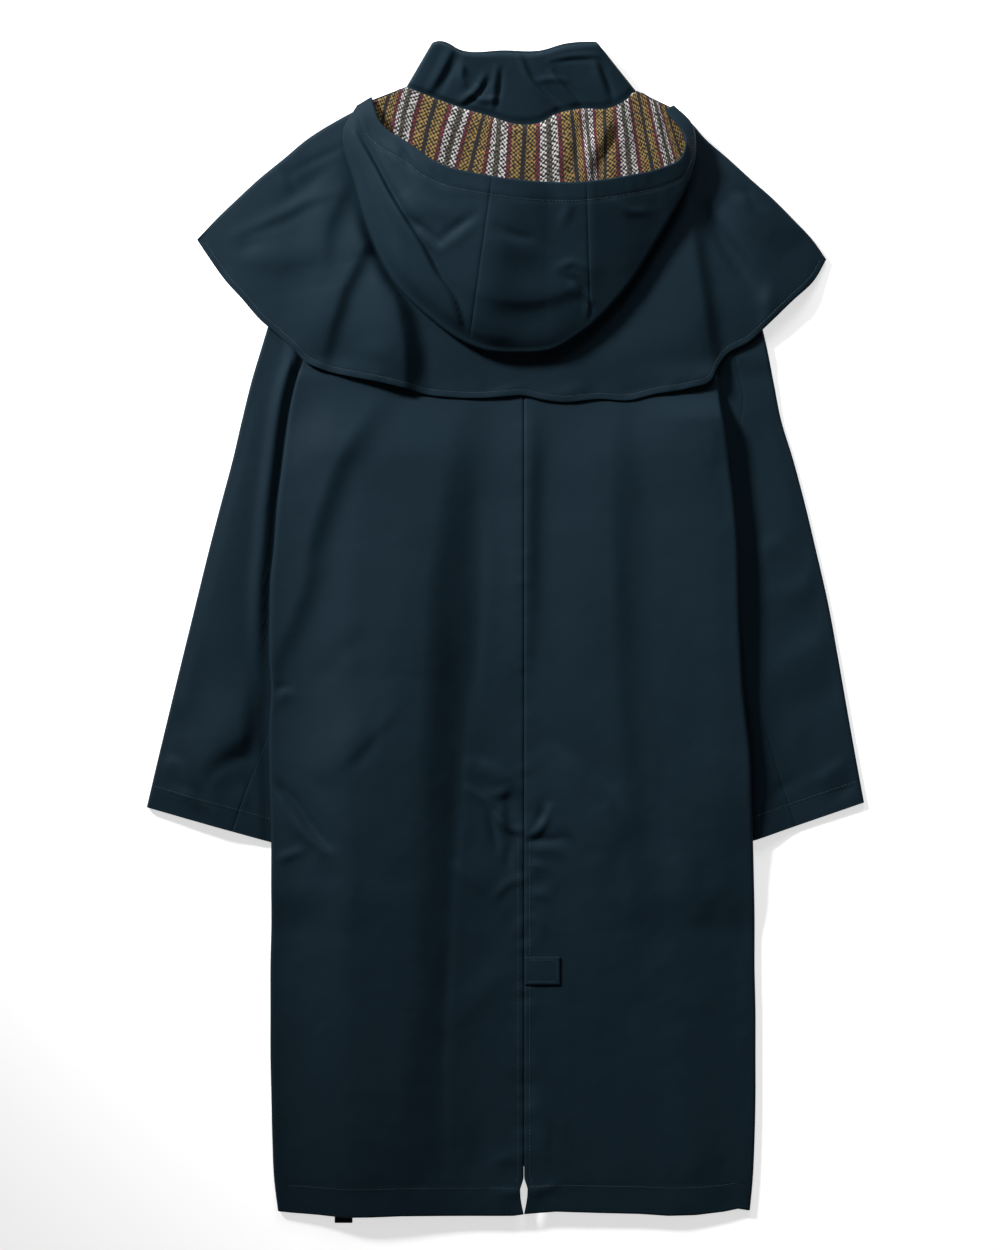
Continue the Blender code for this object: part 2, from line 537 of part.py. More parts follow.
def make_cape_fronts():
    """Flat on the surface from the centre front to the shoulder edge, where they roll up to the back."""
    columns = CAPE_FRONT_COLUMNS
    halves = (("cape_front_left", -1, CAPE_SHOULDER_LEFT), ("cape_front_right", 1, CAPE_SHOULDER_RIGHT))
    for name, side, shoulder in halves:
        outer = along(shoulder, np.linspace(0, 1, CAPE_ROWS + 1))
        middle = side * CAPE_PARTING
        neck_x = np.linspace(outer[0, 0], middle, columns + 1)
        neck = np.stack([neck_x, line_at(CAPE_FRONT_NECK, neck_x)], axis=-1)
        hem_x = np.linspace(outer[-1, 0], middle, columns + 1)
        inset = CAPE_FRONT_INSET * smooth(np.abs(hem_x - outer[-1, 0]), 0.0, 40.0)
        hem = np.stack([hem_x, line_at(CAPE_HEM, hem_x) + inset], axis=-1)
        hem[0], neck[0] = outer[-1], outer[0]
        centre = np.linspace(neck[-1], hem[-1], CAPE_ROWS + 1)
        plan = coons(outer, centre, neck, hem)
        grid = np.concatenate([plan, np.full(plan.shape[:2] + (1,), FLOOR)], axis=-1)
        grid, out = rolled_edge(grid, cape_edge_z(outer) - SEAM_GAP / 2)
        normal = normals(grid)
        normal *= np.where(normal[..., 2:3] > 0.05, -1.0, 1.0)
        normal[:, 0] = out
        if side < 0:
            grid, normal = grid[:, ::-1], normal[:, ::-1]
        wall(name, grid[::-1], NAVY_CLOTH, normal[::-1])


# ---------------------------------------------------------------- hood
def hood_grid():
    """A pouch: each column runs from the neck seam down on the cape, round the roll and up to the mouth."""
    columns = np.linspace(0, 1, HOOD_COLUMNS + 1)
    seams = [column / HOOD_COLUMNS for column in HOOD_SEAMS]
    round_bottom = np.interp(columns, (0.0, *seams, 1.0), (0.0, *SEAMS_ON_ROLL, 1.0))
    neck, mouth = along(NECK_SEAM, columns), along(HOOD_MOUTH, columns)
    roll = along(HOOD_ROLL_LINE, round_bottom)
    base = np.full(len(columns), HOOD_BASE)
    middle = 1.0 - np.abs(2 * columns - 1) ** 2.5
    radius = 2.0 + (HOOD_ROLL - 2.0) * middle
    loft = 5.0 + HOOD_LOFT * middle
    inward = mouth - roll
    inward /= np.linalg.norm(inward, axis=1, keepdims=True)
    foot = roll + inward * radius[:, None]
    rows = [np.column_stack([neck + (foot - neck) * share, base]) for share in np.linspace(0.0, 1.0, 5)]
    for swing in np.radians((45.0, 90.0, 135.0)):
        plan = roll + inward * (radius * (1 - math.sin(swing)))[:, None]
        rows.append(np.column_stack([plan, base + radius * (1 - math.cos(swing))]))
    for share in np.linspace(0.0, 1.0, 8):
        plan = foot + (mouth - foot) * share
        rise = base + 2 * radius + loft * (1 - (1 - share) ** 2)
        fade = math.sin(math.pi * min(share + 0.15, 0.9)) * middle
        rows.append(np.column_stack([plan, rise + fade * folds_at(HOOD_FOLDS, plan[:, 0], plan[:, 1])]))
    return np.array(rows)


def make_hood(grid):
    """The hood's left side, centre and right side, split at its two seams."""
    facing = normals(grid)
    left, right = HOOD_SEAMS
    parts = (("hood_left", 0, left), ("hood_centre", left, right), ("hood_right", right, HOOD_COLUMNS))
    for name, first, last in parts:
        edges = ["first_row"] + ["first_col"] * (first > 0) + ["last_col"] * (last < HOOD_COLUMNS)
        wall(name, trim(grid[:, first:last + 1], edges), NAVY_CLOTH, facing[:, first:last + 1])


def make_lining(grid):
    """The lining of the mouth lies on the hood's lower wall, from the neck seam to past the free edge."""
    rows = [grid[0] + (grid[4] - grid[0]) * share for share in (0.012, 0.25, 0.5, 0.75)]
    wall("hood_lining", np.array(rows)[:, 1:-1] + (0.0, 0.0, CLOTH + SEAM_GAP), STRIPE_CLOTH)


# ---------------------------------------------------------------- collar
def make_collar():
    """A band round the neck: the back part on top, folded at both sides, front parts on the surface."""
    shares = np.linspace(0.0, 1.0, HOOD_COLUMNS + 1)[1:-1]
    low_back, top_back = along(NECK_SEAM, shares), along(COLLAR_TOP, shares)
    middle_z, fold = (HOOD_BASE + FLOOR) / 2, (HOOD_BASE - FLOOR) / 2

    def side_fold(ends, way, swings):
        """Points round one folded side, from the front's height to the back's or the other way."""
        (low_x, low_u), (top_x, top_u) = ends
        turns = [(way * COLLAR_ROLL * math.sin(swing), middle_z - fold * math.cos(swing)) for swing in swings]
        return [(low_x + out, low_u, z, top_x + out, top_u, z) for out, z in turns]

    swings = np.radians((30.0, 60.0, 90.0, 120.0, 150.0))
    front_left, front_right = ([(*ends[:2], FLOOR, *ends[2:], FLOOR) for ends in part]
                               for part in (COLLAR_FRONT_LEFT, COLLAR_FRONT_RIGHT))
    fold_left = side_fold(COLLAR_END_LEFT, -1, swings)
    fold_right = side_fold(COLLAR_END_RIGHT, 1, swings[::-1])
    back = [(*low, HOOD_BASE, *top, HOOD_BASE) for low, top in zip(low_back, top_back)]
    table = np.array(front_left + fold_left + back + fold_right + front_right)
    steps = np.linspace(0, 1, COLLAR_ROWS + 1)[:, None, None]
    grid = table[None, :, :3] + (table[None, :, 3:] - table[None, :, :3]) * steps
    wall("collar", trim(grid, ["first_row"]), NAVY_CLOTH)


# ---------------------------------------------------------------- small pieces
def flat_strip(name, x_range, u_range, height, finish, steps=(3, 3)):
    """A small flat strip whose middle follows a height function."""
    x = np.linspace(*x_range, steps[0])[None, :]
    u = np.linspace(*u_range, steps[1])[:, None]
    x, u = np.broadcast_arrays(x, u)
    wall(name, np.stack([x, u, height(x, u)], axis=-1), finish)


def make_small_pieces():
    """The tab over the vent lies on the back, and the strap's end on the left front, inside the coat."""
    def on_back(x, u):
        return back_height(x, u) + CLOTH + SEAM_GAP

    def on_front(x, u):
        return front_height(x, u) + CLOTH + SEAM_GAP

    flat_strip("vent_tab", TAB_ACROSS, TAB_HEIGHT, on_back, NAVY_CLOTH, (5, 3))
    flat_strip("strap_end", STRAP_ACROSS, STRAP_HEIGHT, on_front, DARK_CLOTH, (2, 3))


def settle():
    """Put the origin under the centre of the whole coat, on the surface it lies on."""
    pieces = [item for item in bpy.data.objects if item.type == "MESH"]
    points = {item.name: np.array([vertex.co[:] for vertex in item.data.vertices]) for item in pieces}
    every = np.concatenate(list(points.values()))
    low, high = every.min(axis=0), every.max(axis=0)
    shift = ((low[0] + high[0]) / 2, (low[1] + high[1]) / 2, low[2])
    for item in pieces:
        item.data.vertices.foreach_set("co", (points[item.name] - shift).astype(np.float32).ravel())
        item.data.update()
    print("shift (mm)", [round(value / MM, 2) for value in shift])
    print("size (mm)", [round(value / MM, 1) for value in high - low])


def main():
    for item in list(bpy.data.objects):
        bpy.data.objects.remove(item)
    make_backs()
    make_fronts()
    make_sleeve("sleeve_left", SLEEVE_LEFT, -1, BACK_SEAM_LEFT)
    make_sleeve("sleeve_right", SLEEVE_RIGHT, 1, BACK_SEAM_RIGHT)
    make_cape_back()
    make_cape_fronts()
    hood = hood_grid()
    make_hood(hood)
    make_lining(hood)
    make_collar()
    make_small_pieces()
    settle()


main()
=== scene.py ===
# %% [markdown]
# # A long raincoat with a shoulder cape and a hood
# The coat lies flat and face down, as a shop lays one out to show its back. A imported model of plain
# solids gives every size. This lesson puts thin cloth in the place of each solid, with the folds, seams
# and stitches that a sewn coat has. The first step loads the solids.

# %% Load the imported model
import math

import bpy
import numpy as np
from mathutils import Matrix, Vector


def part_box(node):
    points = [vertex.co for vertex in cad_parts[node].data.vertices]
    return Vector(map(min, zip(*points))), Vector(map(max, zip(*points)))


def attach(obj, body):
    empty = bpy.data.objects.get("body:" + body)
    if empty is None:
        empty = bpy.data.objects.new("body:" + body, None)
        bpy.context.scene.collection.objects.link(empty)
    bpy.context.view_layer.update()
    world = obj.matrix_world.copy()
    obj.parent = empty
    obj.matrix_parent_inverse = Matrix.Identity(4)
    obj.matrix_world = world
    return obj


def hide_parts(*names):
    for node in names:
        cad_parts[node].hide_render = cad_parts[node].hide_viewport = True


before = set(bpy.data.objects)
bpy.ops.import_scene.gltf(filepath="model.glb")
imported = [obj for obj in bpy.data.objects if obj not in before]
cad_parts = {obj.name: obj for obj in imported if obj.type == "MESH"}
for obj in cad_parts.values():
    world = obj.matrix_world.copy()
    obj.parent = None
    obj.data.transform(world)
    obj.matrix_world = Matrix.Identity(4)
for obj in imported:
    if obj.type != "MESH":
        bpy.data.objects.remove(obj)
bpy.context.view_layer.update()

print("solids:", len(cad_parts))

# %% [markdown]
# ## Sizes
# A pattern cutter works flat, so every place on the coat is given in the coat's own pattern, in
# millimetres: x runs across from the seam in the middle of the back, u runs up from the hem, and z is the
# height above the surface. One solid tells where that pattern lies: the left back ends at the middle seam
# and begins at the hem.

# %% Sizes of the cloth and of its layers
MM = 0.001
CLOTH = 0.9             # thickness of the cloth
SEAM_GAP = 0.3          # space between two pieces where they are sewn together
FOLD_RADIUS = 3.0       # radius of the rolled side edges
UNDERARM = 871.0        # height of the underarm above the hem
ARMHOLE_FOOT = 905.0    # height where the armhole leaves the side seam
SHOULDER = 1095.0       # height of the shoulder points
RIGHT_EDGE_LIFT = 10.5  # extra height of the back's right edge beside the sleeve
BODY_LOFT = 4.0         # extra height of the back in the middle of the body
SLEEVE_LOFT = {-1: 4.6, 1: 1.0}  # extra height of the free part of the left and right sleeve
CAPE_HEIGHT = 17.0      # height of the cape where it lies on the body
CAPE_RIM = 3.6          # height of the cape's free corners
HOOD_LOFT = 26.0        # rise of the hood from its rolled bottom edge to its mouth
# Half height of the hood's rolled bottom edge: share of the way round, half height.
HOOD_ROLL = ((0.0, 2.0), (0.15, 5.0), (0.52, 5.5), (0.7, 9.0), (0.9, 11.0), (1.0, 3.0))
COLLAR_ROLL = 6.0       # radius of the collar's folded ends
LAP = 20.0              # how far each front laps past the centre
PARTING = 12.0          # how far each front stands back at its foot
FLOOR = 0.6             # middle of the cloth that lies on the surface
ON_CAPE = 1.6           # lift of what lies on the cape's fronts
ON_SLEEVE = 5.4         # lift of what lies on the covered part of a sleeve
SLEEVE_FLAT = {-1: 3.0, 1: 3.2}  # between the walls of the covered part of a sleeve
BODY_FLAT = 6.0         # between front and back at the body's edges
HOOD_BASE = 18.6        # the hood's lower wall
UNDER_CAPE = (795.0, 892.0)  # between these heights the backs turn plain, hidden by the cape
# Rows and columns are spaced for these lengths, then stretched to the real outlines.
BODY_WIDTH, SLEEVE_LENGTH, COLLAR_DEPTH = 262.0, 830.0, 80.0
CAPE_LENGTH, CAPE_WIDTH, CAPE_FRONT_WIDTH = 270.0, 720.0, 330.0
HOOD_ROUND, HOOD_DEPTH = 540.0, 170.0

seam_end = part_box("back_left")
ORIGIN = np.array([seam_end[1][0] / MM + SEAM_GAP / 2, seam_end[0][1] / MM, 0.0])
print("pattern origin in the model (mm):", ORIGIN.round(2))

# %% [markdown]
# ## Outlines
# Each outline is a short list of points that a cutter could mark with chalk. A cubic curve runs through
# them, so no corner shows between two points. Lists are easier to correct than one long formula.

# %% Outline tables
BODY = np.array((       # height, left edge, right edge
    (0, -260, 239), (32, -264, 242), (75, -266, 244), (120, -267, 245), (165, -268, 245),
    (210, -268, 245), (260, -268, 244), (305, -267, 244), (350, -267, 243), (395, -267, 242),
    (435, -268, 241), (475, -269, 240), (515, -269, 236), (550, -267, 232), (585, -269, 230),
    (625, -269, 228), (665, -268, 227), (705, -264, 226), (745, -261, 223), (785, -256, 218),
    (825, -251, 213), (855, -246, 208), (880, -240, 205), (905, -232, 203), (950, -231, 203),
    (1000, -229, 203), (1050, -227, 203), (1095, -226, 203)), dtype=float)
NECKLINE = ((-226, 1095), (-160, 1137), (-118, 1166), (-97, 1167), (-67, 1159), (-36, 1150),
            (-10, 1142), (0, 1141), (13, 1142), (36, 1152), (61, 1157), (88, 1158), (110, 1162),
            (150, 1132), (203, 1095))
NECK_SEAM = ((-125, 1188), (-97, 1177), (-67, 1166), (-36, 1157), (-10, 1149), (0, 1148), (13, 1149),
             (36, 1160), (61, 1165), (88, 1165), (106, 1173), (119, 1184))
FRONT_NECK = ((-118, 1166), (-97, 1138), (-60, 1112), (-20, 1101), (20, 1101), (56, 1112), (91, 1138),
              (110, 1162))
CAPE_NECK = ((-131, 1187), (-97, 1173), (-67, 1162), (-36, 1153), (-10, 1145), (0, 1144), (13, 1145),
             (36, 1156), (61, 1161), (88, 1161), (106, 1168), (125, 1183))
CAPE_FRONT_NECK = ((-131, 1187), (-121, 1166), (-101, 1136), (-62, 1109), (-20, 1098), (20, 1098),
                   (58, 1109), (95, 1136), (114, 1160), (125, 1183))
SLEEVE_LEFT = np.array((    # outer edge x, u, inner edge x, u
    (-226.5, 1095, -232.5, 906), (-238, 1050, -237, 893), (-251, 1003, -240.5, 880), (-264, 958, -243, 868),
    (-276, 918, -243, 856), (-288, 878, -240, 842), (-298, 838, -222, 818), (-308, 795, -190, 775),
    (-320, 750, -160, 722), (-333, 700, -150, 662), (-347, 643, -163, 603), (-361, 586, -184, 543),
    (-377, 520, -212, 478), (-389, 470, -236, 429), (-399, 427, -254, 386)), dtype=float)
SLEEVE_RIGHT = np.array((
    (203.5, 1095, 203.5, 908), (219, 1050, 205, 895), (233, 1003, 205.8, 881), (246, 958, 206.8, 868),
    (256, 918, 206, 855), (264, 878, 202, 841), (272, 838, 186, 818), (285, 795, 156, 775),
    (297, 750, 126, 722), (309, 700, 118, 662), (322, 643, 130, 603), (333, 583, 150, 545),
    (344, 520, 175, 478), (353, 470, 196, 429), (360, 432, 218, 383)), dtype=float)
CAPE_SHOULDER_LEFT = ((-131, 1187), (-162, 1172), (-195, 1155), (-229, 1134), (-254, 1113), (-280, 1092),
                      (-303, 1071), (-326, 1049), (-346, 1028))
CAPE_SHOULDER_RIGHT = ((125, 1183), (146, 1171), (173, 1155), (192, 1134), (216, 1113), (239, 1092),
                       (263, 1071), (285, 1049), (305, 1028), (320, 1007))
CAPE_HEM = ((-346, 1028), (-332, 1007), (-317, 986), (-298, 965), (-279, 943), (-259, 926), (-244, 912),
            (-230, 898), (-210, 889), (-188, 883.5), (-159, 878), (-129, 871), (-99, 863), (-78, 861),
            (-48, 860), (-17, 862), (-1, 863), (17, 859), (38, 856), (81, 859), (110, 857.5),
            (138, 864), (173, 870), (198, 879), (204, 892), (213, 905), (240, 921), (253, 933),
            (283, 962), (308, 986), (320, 1007))
HOOD_ROLL_LINE = ((-176, 1168), (-190, 1143), (-178, 1085), (-162, 1032), (-134, 978), (-97, 942),
                  (-61, 917), (-41, 909), (-7, 906), (29, 909), (61, 927), (101, 966), (137, 1020),
                  (159, 1058), (177, 1097), (181, 1122), (177, 1148), (158, 1168))
HOOD_MOUTH = ((-162, 1176), (-152, 1148), (-118, 1122), (-92, 1103), (-41, 1089), (18, 1082), (61, 1082),
              (108, 1089), (146, 1099), (164, 1108), (171, 1128), (150, 1164))
COLLAR_TOP = ((-97, 1236), (-83, 1235), (-68, 1227), (-20, 1226), (18, 1226), (43, 1233), (60, 1235),
              (78, 1235))
VENT_SLIT = ((0, 0.2), (4, 1.0), (10, 2.2), (18, 3.4), (26, 3.8), (31, 2.2), (36, 0.5), (40, 0.2))
# How far the hem sags below its straight line: place across, sag.
HEM_SAG = ((-263, 0.0), (-248, 1.5), (-218, 3.5), (-189, 6.0), (-159, 5.5), (-131, 4.5), (-11, 4.5),
           (2, 2.5), (34, 0.0), (81, 1.5), (123, 2.5), (153, 4.5), (182, 4.0), (212, 0.5), (227, -2.5),
           (242, 0.0))
print("points in the tables:", len(BODY) + len(CAPE_HEM) + len(HOOD_ROLL_LINE) + len(HOOD_MOUTH))


# %% Curves through the points
def smooth(value, low, high):
    """0 below low, 1 above high; between them 3s^2 - 2s^3, a soft S."""
    s = np.clip((value - low) / (high - low), 0.0, 1.0)
    return s * s * (3.0 - 2.0 * s)


def through(knots, values, at):
    """Cubic Hermite curve through values at knots: each span blends its two ends and their slopes."""
    knots, values = np.asarray(knots, float), np.asarray(values, float)
    at = np.clip(at, knots[0], knots[-1])
    slope = np.gradient(values, knots, axis=0)
    first = np.clip(np.searchsorted(knots, at) - 1, 0, len(knots) - 2)
    span = knots[first + 1] - knots[first]
    t = (at - knots[first]) / span
    if values.ndim > 1:
        t, span = t[..., None], span[..., None]
    start = (1 + 2 * t) * (1 - t) ** 2 * values[first] + t * (1 - t) ** 2 * span * slope[first]
    return start + t * t * (3 - 2 * t) * values[first + 1] - t * t * (1 - t) * span * slope[first + 1]


def along(points, shares):
    """Points at the given shares of the length of a line, on the curve through it."""
    table = np.array(points, dtype=float)
    length = np.concatenate([[0.0], np.cumsum(np.linalg.norm(np.diff(table, axis=0), axis=1))])
    return through(length, table, np.asarray(shares) * length[-1])


def line_at(points, x):
    """Height of an outline at x."""
    table = np.array(points, dtype=float)
    return np.interp(x, table[:, 0], table[:, 1])


def body_edge(side, u):
    """The body's left (side -1) or right (side +1) edge at height u."""
    return through(BODY[:, 0], BODY[:, 1 if side < 0 else 2], u)


print("width at the underarm (mm):", float(body_edge(1, UNDERARM) - body_edge(-1, UNDERARM)))

# %% [markdown]
# ## Folds
# Laid cloth keeps long soft ridges and a few sharp creases. Cloth simulation could make some, but not the
# ones that this coat was left with, so each is a line with a height and two widths: the cloth falls away
# quickly on one side of the line and slowly on the other. Small random waves, always the same ones, do
# the rest.


# %% Folds and waves
def fold_lines(*rows):
    """Each row is width on the left, width on the right, height, then the points of the line."""
    return [(row[0], row[1], row[2], along(row[3:], np.linspace(0, 1, 4 * len(row[3:])))) for row in rows]


def relief(folds, x, u):
    """Sum over the folds of height * exp(-(distance / width)^2), fading towards the ends of each line.

    Left and right are those of someone who looks down the coat's back along a line that runs down. Round
    the ends of a line the width turns softly from one to the other, so the cloth has no step there.
    """
    total = np.zeros(np.shape(x))
    for left, right, height, line in folds:
        step = np.diff(line, axis=0)
        size = np.hypot(step[:, 0], step[:, 1])
        way = step / size[:, None]
        nearest, share, side = np.full(np.shape(x), 1e9), np.zeros(np.shape(x)), np.zeros(np.shape(x))
        before = np.concatenate([[0.0], np.cumsum(size)])
        for index, start in enumerate(line[:-1]):
            dx, du = x - start[0], u - start[1]
            reach = np.clip(dx * way[index, 0] + du * way[index, 1], 0.0, size[index])
            gap = np.hypot(dx - reach * way[index, 0], du - reach * way[index, 1])
            closer = gap < nearest
            nearest = np.where(closer, gap, nearest)
            share = np.where(closer, (before[index] + reach) / before[-1], share)
            side = np.where(closer, way[index, 0] * du - way[index, 1] * dx, side)
        turn = smooth(side / np.maximum(nearest, 1e-6), -1.0, 1.0)
        width = left + (right - left) * turn
        fade = np.sin(math.pi * np.clip(0.08 + 0.84 * share, 0.0, 1.0)) ** 0.7
        total += height * fade * np.exp(-(nearest / width) ** 2)
    return total


def waves(x, u, size_x, size_u, seed):
    """Random heights from -1 to 1 on a lattice of the given spacing, joined by soft S curves."""
    lattice = np.random.default_rng(seed).uniform(-1.0, 1.0, (97, 97))
    gx, gu = x / size_x + 500.0, u / size_u + 500.0
    ix, iu = np.floor(gx).astype(int), np.floor(gu).astype(int)
    fx, fu = smooth(gx - ix, 0, 1), smooth(gu - iu, 0, 1)
    near = lattice[ix % 97, iu % 97] * (1 - fx) + lattice[(ix + 1) % 97, iu % 97] * fx
    far = lattice[ix % 97, (iu + 1) % 97] * (1 - fx) + lattice[(ix + 1) % 97, (iu + 1) % 97] * fx
    return near * (1 - fu) + far * fu


def handled(x, u, seed):
    """The faint unevenness of cloth that has been folded and handled: three sizes of waves."""
    turned, across = 0.8 * x + 0.6 * u, 0.8 * u - 0.6 * x
    return (0.45 * waves(x, u, 34, 60, seed) + 0.26 * waves(turned, across, 15, 24, seed + 1)
            + 0.09 * waves(across, turned, 8, 11, seed + 2))


def levels(length, spacing, lines=(), ends=(True, True)):
    """Places from 0 to length, even, but close together at the ends and beside each given line."""
    places = [np.linspace(0.0, length, max(2, int(round(length / spacing)) + 1))]
    close = np.array((0.35, 0.9, 1.7, 2.6))
    places += [close] * ends[0] + [length - close] * ends[1]
    places += [line + np.concatenate([-close, [0.0], close]) for line in lines]
    merged = np.sort(np.concatenate(places))
    keep = np.concatenate([[True], np.diff(merged) > 0.3])
    merged = merged[keep]
    merged[-1] = length
    return merged


def groove(distance, depth=0.5, width=1.3):
    """The dip of a seam or stitch line: -depth * exp(-(distance / width)^2)."""
    return -depth * np.exp(-(distance / width) ** 2)


print("steepest slope of a 3 mm ridge, 14 mm wide:", round(0.858 * 3 / 14, 3))

# %% [markdown]
# ## Cloth pieces
# Every piece of the coat is a grid of points in the middle of the cloth. One function turns a grid into a
# mesh, gives it a flat pattern as its UV map, so that the weave keeps its size round every fold, and lets
# a Solidify modifier add the thickness. A second one places stitches along a line on a grid.


# %% From a grid to a sewn piece
def flat_pattern(grid):
    """UV of a grid: lengths measured along its rows and columns, in metres, from the middle."""
    middle = grid.shape[1] // 2
    across = np.linalg.norm(np.diff(grid, axis=1), axis=2)
    across = np.concatenate([np.zeros((len(grid), 1)), np.cumsum(across, axis=1)], axis=1)
    down = np.linalg.norm(np.diff(grid, axis=0), axis=2).mean(axis=1)
    down = np.concatenate([[0.0], np.cumsum(down)])[:, None] + np.zeros(grid.shape[1])
    return np.stack([across - across[:, middle:middle + 1], down], axis=-1) * MM


def mesh_piece(name, points, faces, uv):
    """A mesh object at the origin from points in millimetres of the pattern."""
    mesh = bpy.data.meshes.new(name)
    mesh.from_pydata(((points + ORIGIN) * MM).tolist(), [], faces.tolist())
    layer = mesh.uv_layers.new(name="pattern")
    layer.data.foreach_set("uv", uv[faces.ravel()].astype(np.float32).ravel())
    mesh.shade_smooth()
    item = bpy.data.objects.new(name, mesh)
    bpy.context.collection.objects.link(item)
    return item


def cloth(name, grid, node, outward_up=True, thickness=CLOTH, uv=None,
          known=0.5, finish=None):
    """One cut piece: its mesh, thickness, flat size and the solid that it stands for.

    outward_up says where the outside looks in the middle row, at the share of the width given by known.
    finish is the material, the shell's unless another is given.
    """
    rows, columns = grid.shape[:2]
    index = np.arange(rows * columns).reshape(rows, columns)
    faces = np.stack([index[:-1, :-1], index[:-1, 1:], index[1:, 1:], index[1:, :-1]], axis=-1)
    faces = faces.reshape(-1, 4)
    row, column = rows // 2, int(known * (columns - 1))
    corner = grid[row, column]
    normal = np.cross(grid[row, column + 1] - corner, grid[row + 1, column] - corner)
    if (normal[2] > 0) != outward_up:
        faces = faces[:, ::-1]
    pattern = flat_pattern(grid) if uv is None else uv
    item = mesh_piece(name, grid.reshape(-1, 3), faces, pattern.reshape(-1, 2))
    solid = item.modifiers.new("thickness", "SOLIDIFY")
    solid.thickness, solid.offset = thickness * MM, 0.0
    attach(item, "root")
    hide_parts(node)
    item.data.materials.append(finish or shell_cloth)


def unit(vectors):
    """Each vector divided by its own length."""
    return vectors / np.maximum(np.linalg.norm(vectors, axis=-1, keepdims=True), 1e-9)


def upward(grid):
    """Unit normals of a grid, on the side that faces up."""
    across, down = np.gradient(grid, axis=1), np.gradient(grid, axis=0)
    normal = unit(np.cross(across, down))
    return normal * np.where(normal[..., 2:3] < 0, -1.0, 1.0)


STITCH_PITCH, STITCH_LENGTH, THREAD = 3.4, 2.5, 0.26
stitch_lines = {}


def stitch(group, line, normal):
    """Keep one line of stitches: points on the cloth's surface, evenly spaced by the stitch pitch."""
    length = np.concatenate([[0.0], np.cumsum(np.linalg.norm(np.diff(line, axis=0), axis=1))])
    at = np.arange(STITCH_PITCH, length[-1] - STITCH_PITCH / 2, STITCH_PITCH)
    place = np.stack([np.interp(at, length, line[:, axis]) for axis in range(3)], axis=-1)
    ahead = np.stack([np.interp(at + 0.5, length, line[:, axis]) for axis in range(3)], axis=-1)
    up = unit(np.stack([np.interp(at, length, normal[:, axis]) for axis in range(3)], axis=-1))
    stitch_lines.setdefault(group, []).append((place, unit(ahead - place), up))


def make_stitches(group):
    """Every stitch is one small spindle: five rings whose radius is sqrt(1 - s^2) along its length."""
    place, way, up = (np.concatenate(parts) for parts in zip(*stitch_lines[group]))
    side = unit(np.cross(way, up))
    s = np.array((-1.0, -0.8, 0.0, 0.8, 1.0))
    turn = np.arange(6) * math.tau / 6
    ring = np.sqrt(np.maximum(1 - s ** 2, 0.04))[:, None] * THREAD
    local = np.stack([np.broadcast_to(s[:, None] * STITCH_LENGTH / 2, (5, 6)), ring * np.cos(turn),
                      ring * np.sin(turn)], axis=-1).reshape(-1, 3)
    bend = -0.12 * (local[:, 0] / (STITCH_LENGTH / 2)) ** 2
    points = (place[:, None] + way[:, None] * local[None, :, :1] + side[:, None] * local[None, :, 1:2]
              + up[:, None] * (local[None, :, 2:] + bend[None, :, None] + 0.1))
    index = np.arange(30).reshape(5, 6)
    after = np.roll(index, -1, axis=1)
    faces = np.stack([index[:-1], after[:-1], after[1:], index[1:]], axis=-1).reshape(-1, 4)
    every = (faces[None] + 30 * np.arange(len(place))[:, None, None]).reshape(-1, 4)
    caps = np.stack([index[0, ::-1], index[-1]])[None] + 30 * np.arange(len(place))[:, None, None]
    mesh = bpy.data.meshes.new(group)
    mesh.from_pydata(((points.reshape(-1, 3) + ORIGIN) * MM).tolist(), [],
                     every.tolist() + caps.reshape(-1, 6).tolist())
    mesh.shade_smooth()
    item = bpy.data.objects.new(group, mesh)
    bpy.context.collection.objects.link(item)
    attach(item, "root")
    print(group, "stitches:", len(place))
    return item


print("thread thickness (mm):", 2 * THREAD)

# %% [markdown]
# ## Cloth and thread
# The shell is a dense, smooth weave that sheds rain. It is nearly matt, with a soft sheen where a fold
# faces the light. One function builds that finish: a fine diagonal weave from two waves in the pattern's
# UV, slow changes of tone where the cloth was handled, and a bump that follows both.


# %% Nodes for a finish
def new_finish(name, colour, roughness, sheen=0.0, specular=0.4):
    """An empty Principled finish with its constant values on its own sockets."""
    made = bpy.data.materials.new(name)
    made.use_nodes = True
    nodes = made.node_tree.nodes
    shader = nodes["Principled BSDF"]
    shader.inputs["Base Color"].default_value = (*colour, 1.0)
    shader.inputs["Roughness"].default_value = roughness
    shader.inputs["Specular IOR Level"].default_value = specular
    shader.inputs["Sheen Weight"].default_value = sheen
    shader.inputs["Sheen Roughness"].default_value = 0.5
    return made, nodes, made.node_tree.links, shader


def math_node(nodes, links, operation, first, second=None, third=None):
    """One Math node; each input is a socket or a number."""
    node = nodes.new("ShaderNodeMath")
    node.operation = operation
    for slot_number, value in enumerate((first, second, third)):
        if value is None:
            continue
        if isinstance(value, (int, float)):
            node.inputs[slot_number].default_value = value
        else:
            links.new(value, node.inputs[slot_number])
    return node.outputs[0]


def mix_colour(nodes, links, factor, first, second):
    """Mix two colours; each is a socket or an RGB tuple."""
    node = nodes.new("ShaderNodeMix")
    node.data_type = "RGBA"
    for key, value in (("Factor", factor), ("A", first), ("B", second)):
        socket = next(s for s in node.inputs if s.name == key and (s.type == "RGBA") == (key != "Factor")
                      and s.enabled)
        if isinstance(value, tuple):
            socket.default_value = (*value, 1.0)
        elif isinstance(value, float):
            socket.default_value = value
        else:
            links.new(value, socket)
    return next(s for s in node.outputs if s.type == "RGBA" and s.enabled)


